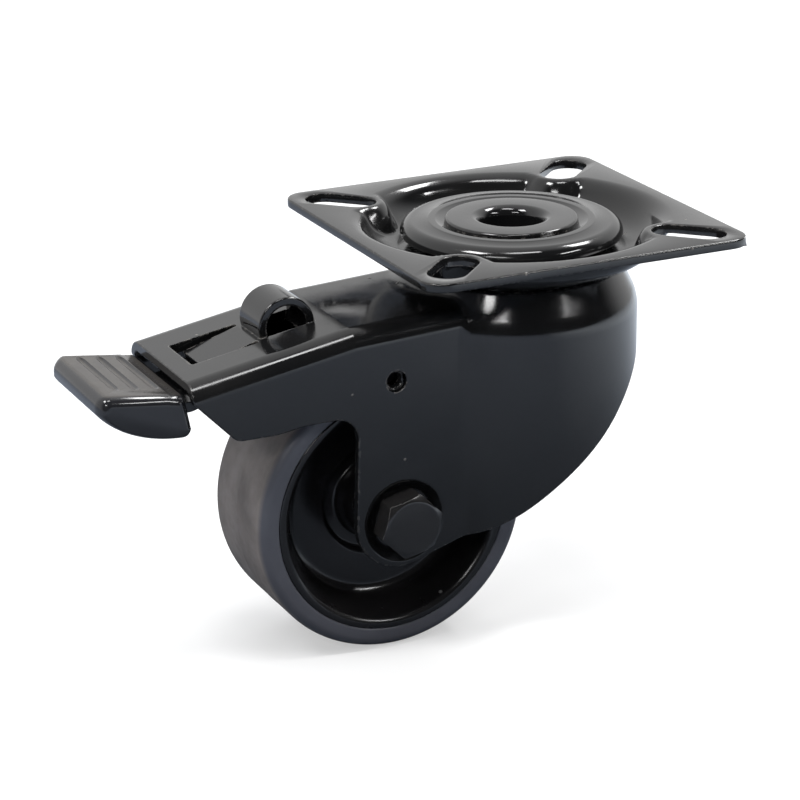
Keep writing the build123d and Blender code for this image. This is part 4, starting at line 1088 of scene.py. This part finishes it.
# %% Hub and tyre
hub_plastic = new_finish("hub_plastic", (0.007, 0.007, 0.008), 0.2)
tree = hub_plastic.node_tree
dust = specks(tree, 380.0, 0.03)
tone = mixed(tree, noise(tree, 90.0, 3.0), (0.005, 0.005, 0.006), (0.011, 0.01, 0.01))
gloss = between(tree, noise(tree, 200.0, 4.0), 0.3, 0.7, 0.17, 0.28)
rough = maths(tree, "ADD", gloss, between(tree, dust, 0.0, 1.0, 0.0, 0.4))
layers = [(noise(tree, 45.0), 0.05), (noise(tree, 900.0), 0.003), (dust, 0.02)]
skin(hub_plastic, mixed(tree, dust, tone, (0.12, 0.12, 0.12)), rough, layers, 0.15)

tread_to = 8.6 * MM
flank_from = 9.6 * MM
rubber = new_finish("tyre_rubber", (0.045, 0.042, 0.045), 0.55)
tree = rubber.node_tree
across = node(tree, "ShaderNodeSeparateXYZ", {0: place(tree)}).outputs["Y"]
to_side = between(tree, maths(tree, "ABSOLUTE", across, 0.0), tread_to, flank_from)
grain = noise(tree, 700.0, 5.0)
scuffs = between(tree, noise(tree, 160.0, 4.0), 0.3, 0.7)
tread = mixed(tree, scuffs, (0.16, 0.138, 0.125), (0.26, 0.228, 0.208))
flank = mixed(tree, noise(tree, 200.0, 3.0), (0.075, 0.076, 0.09), (0.11, 0.112, 0.13))
dull = between(tree, grain, 0.3, 0.7, 0.55, 0.75)
rough = maths(tree, "SUBTRACT", dull, between(tree, to_side, 0.0, 1.0, 0.0, 0.25))
layers = [(grain, 0.012), (noise(tree, 2600.0), 0.004)]
skin(rubber, mixed(tree, to_side, tread, flank), rough, layers)

# %% [markdown]
# The pedal is a satin plastic with the fine grain of an etched mould, and its faces that point up
# are mottled a lighter brown. The nut's ring is blue nylon, slightly mottled.

# %% Pedal and nylon ring
pedal_plastic = new_finish("pedal_plastic", (0.02, 0.019, 0.018), 0.4)
tree = pedal_plastic.node_tree
facing = node(tree, "ShaderNodeNewGeometry").outputs["Normal"]
upward = node(tree, "ShaderNodeSeparateXYZ", {0: facing}).outputs["Z"]
on_top = between(tree, upward, 0.9, 0.99)
# Faces that point up are mottled a lighter brown and made rougher.
lighter_on_top = maths(tree, "MULTIPLY", on_top, between(tree, noise(tree, 220.0, 5.0), 0.2, 0.75, 0.4, 1.0))
grain = noise(tree, 1800.0, 4.0)
satin = between(tree, grain, 0.3, 0.7, 0.1, 0.16)
rough = maths(tree, "ADD", satin, between(tree, on_top, 0.0, 1.0, 0.0, 0.22))
tone = mixed(tree, lighter_on_top, (0.015, 0.015, 0.017), (0.05, 0.044, 0.038))
skin(pedal_plastic, tone, rough, [(grain, 0.004), (noise(tree, 70.0), 0.03)], 0.12)

nylon = new_finish("nylon_ring", (0.1, 0.2, 0.4), 0.4)
tree = nylon.node_tree
mottle = noise(tree, 500.0, 3.0)
tone = mixed(tree, mottle, (0.08, 0.17, 0.36), (0.13, 0.25, 0.48))
skin(nylon, tone, between(tree, mottle, 0.3, 0.7, 0.32, 0.48), [(noise(tree, 2000.0), 0.004)])

# %% [markdown]
# Each finish goes on the engineering piece, and also on the piece that was modelled to stand for
# it, so that both look the same whichever of them is shown.

# %% Give every piece its finish
finishes = {
    paint_on_turning: ("top_plate", "race_cap", "kingpin_rivet"),
    paint_on_sheet: ("fork", "brake_lever"),
    black_oxide: ("axle_bolt", "axle_nut"),
    ball_steel: ("upper_balls", "lower_balls"),
    zinc: ("axle_sleeve", "shoe_rivets"),
    spring_leaf: ("brake_shoe",),
    hub_plastic: ("wheel_hub",),
    rubber: ("tyre",),
    pedal_plastic: ("brake_pedal",),
    nylon: ("nut_insert",),
}
for surface, names in finishes.items():
    for name in names:
        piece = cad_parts[name]
        for dressed in (piece, remade.get(name, piece)):
            dressed.data.materials.clear()
            dressed.data.materials.append(surface)
print("finishes given:", sum(len(names) for names in finishes.values()))

# %% [markdown]
# ## The colour view
# The Standard view keeps colours as they were set.

# %% Finish
bpy.context.scene.view_settings.view_transform = "Standard"
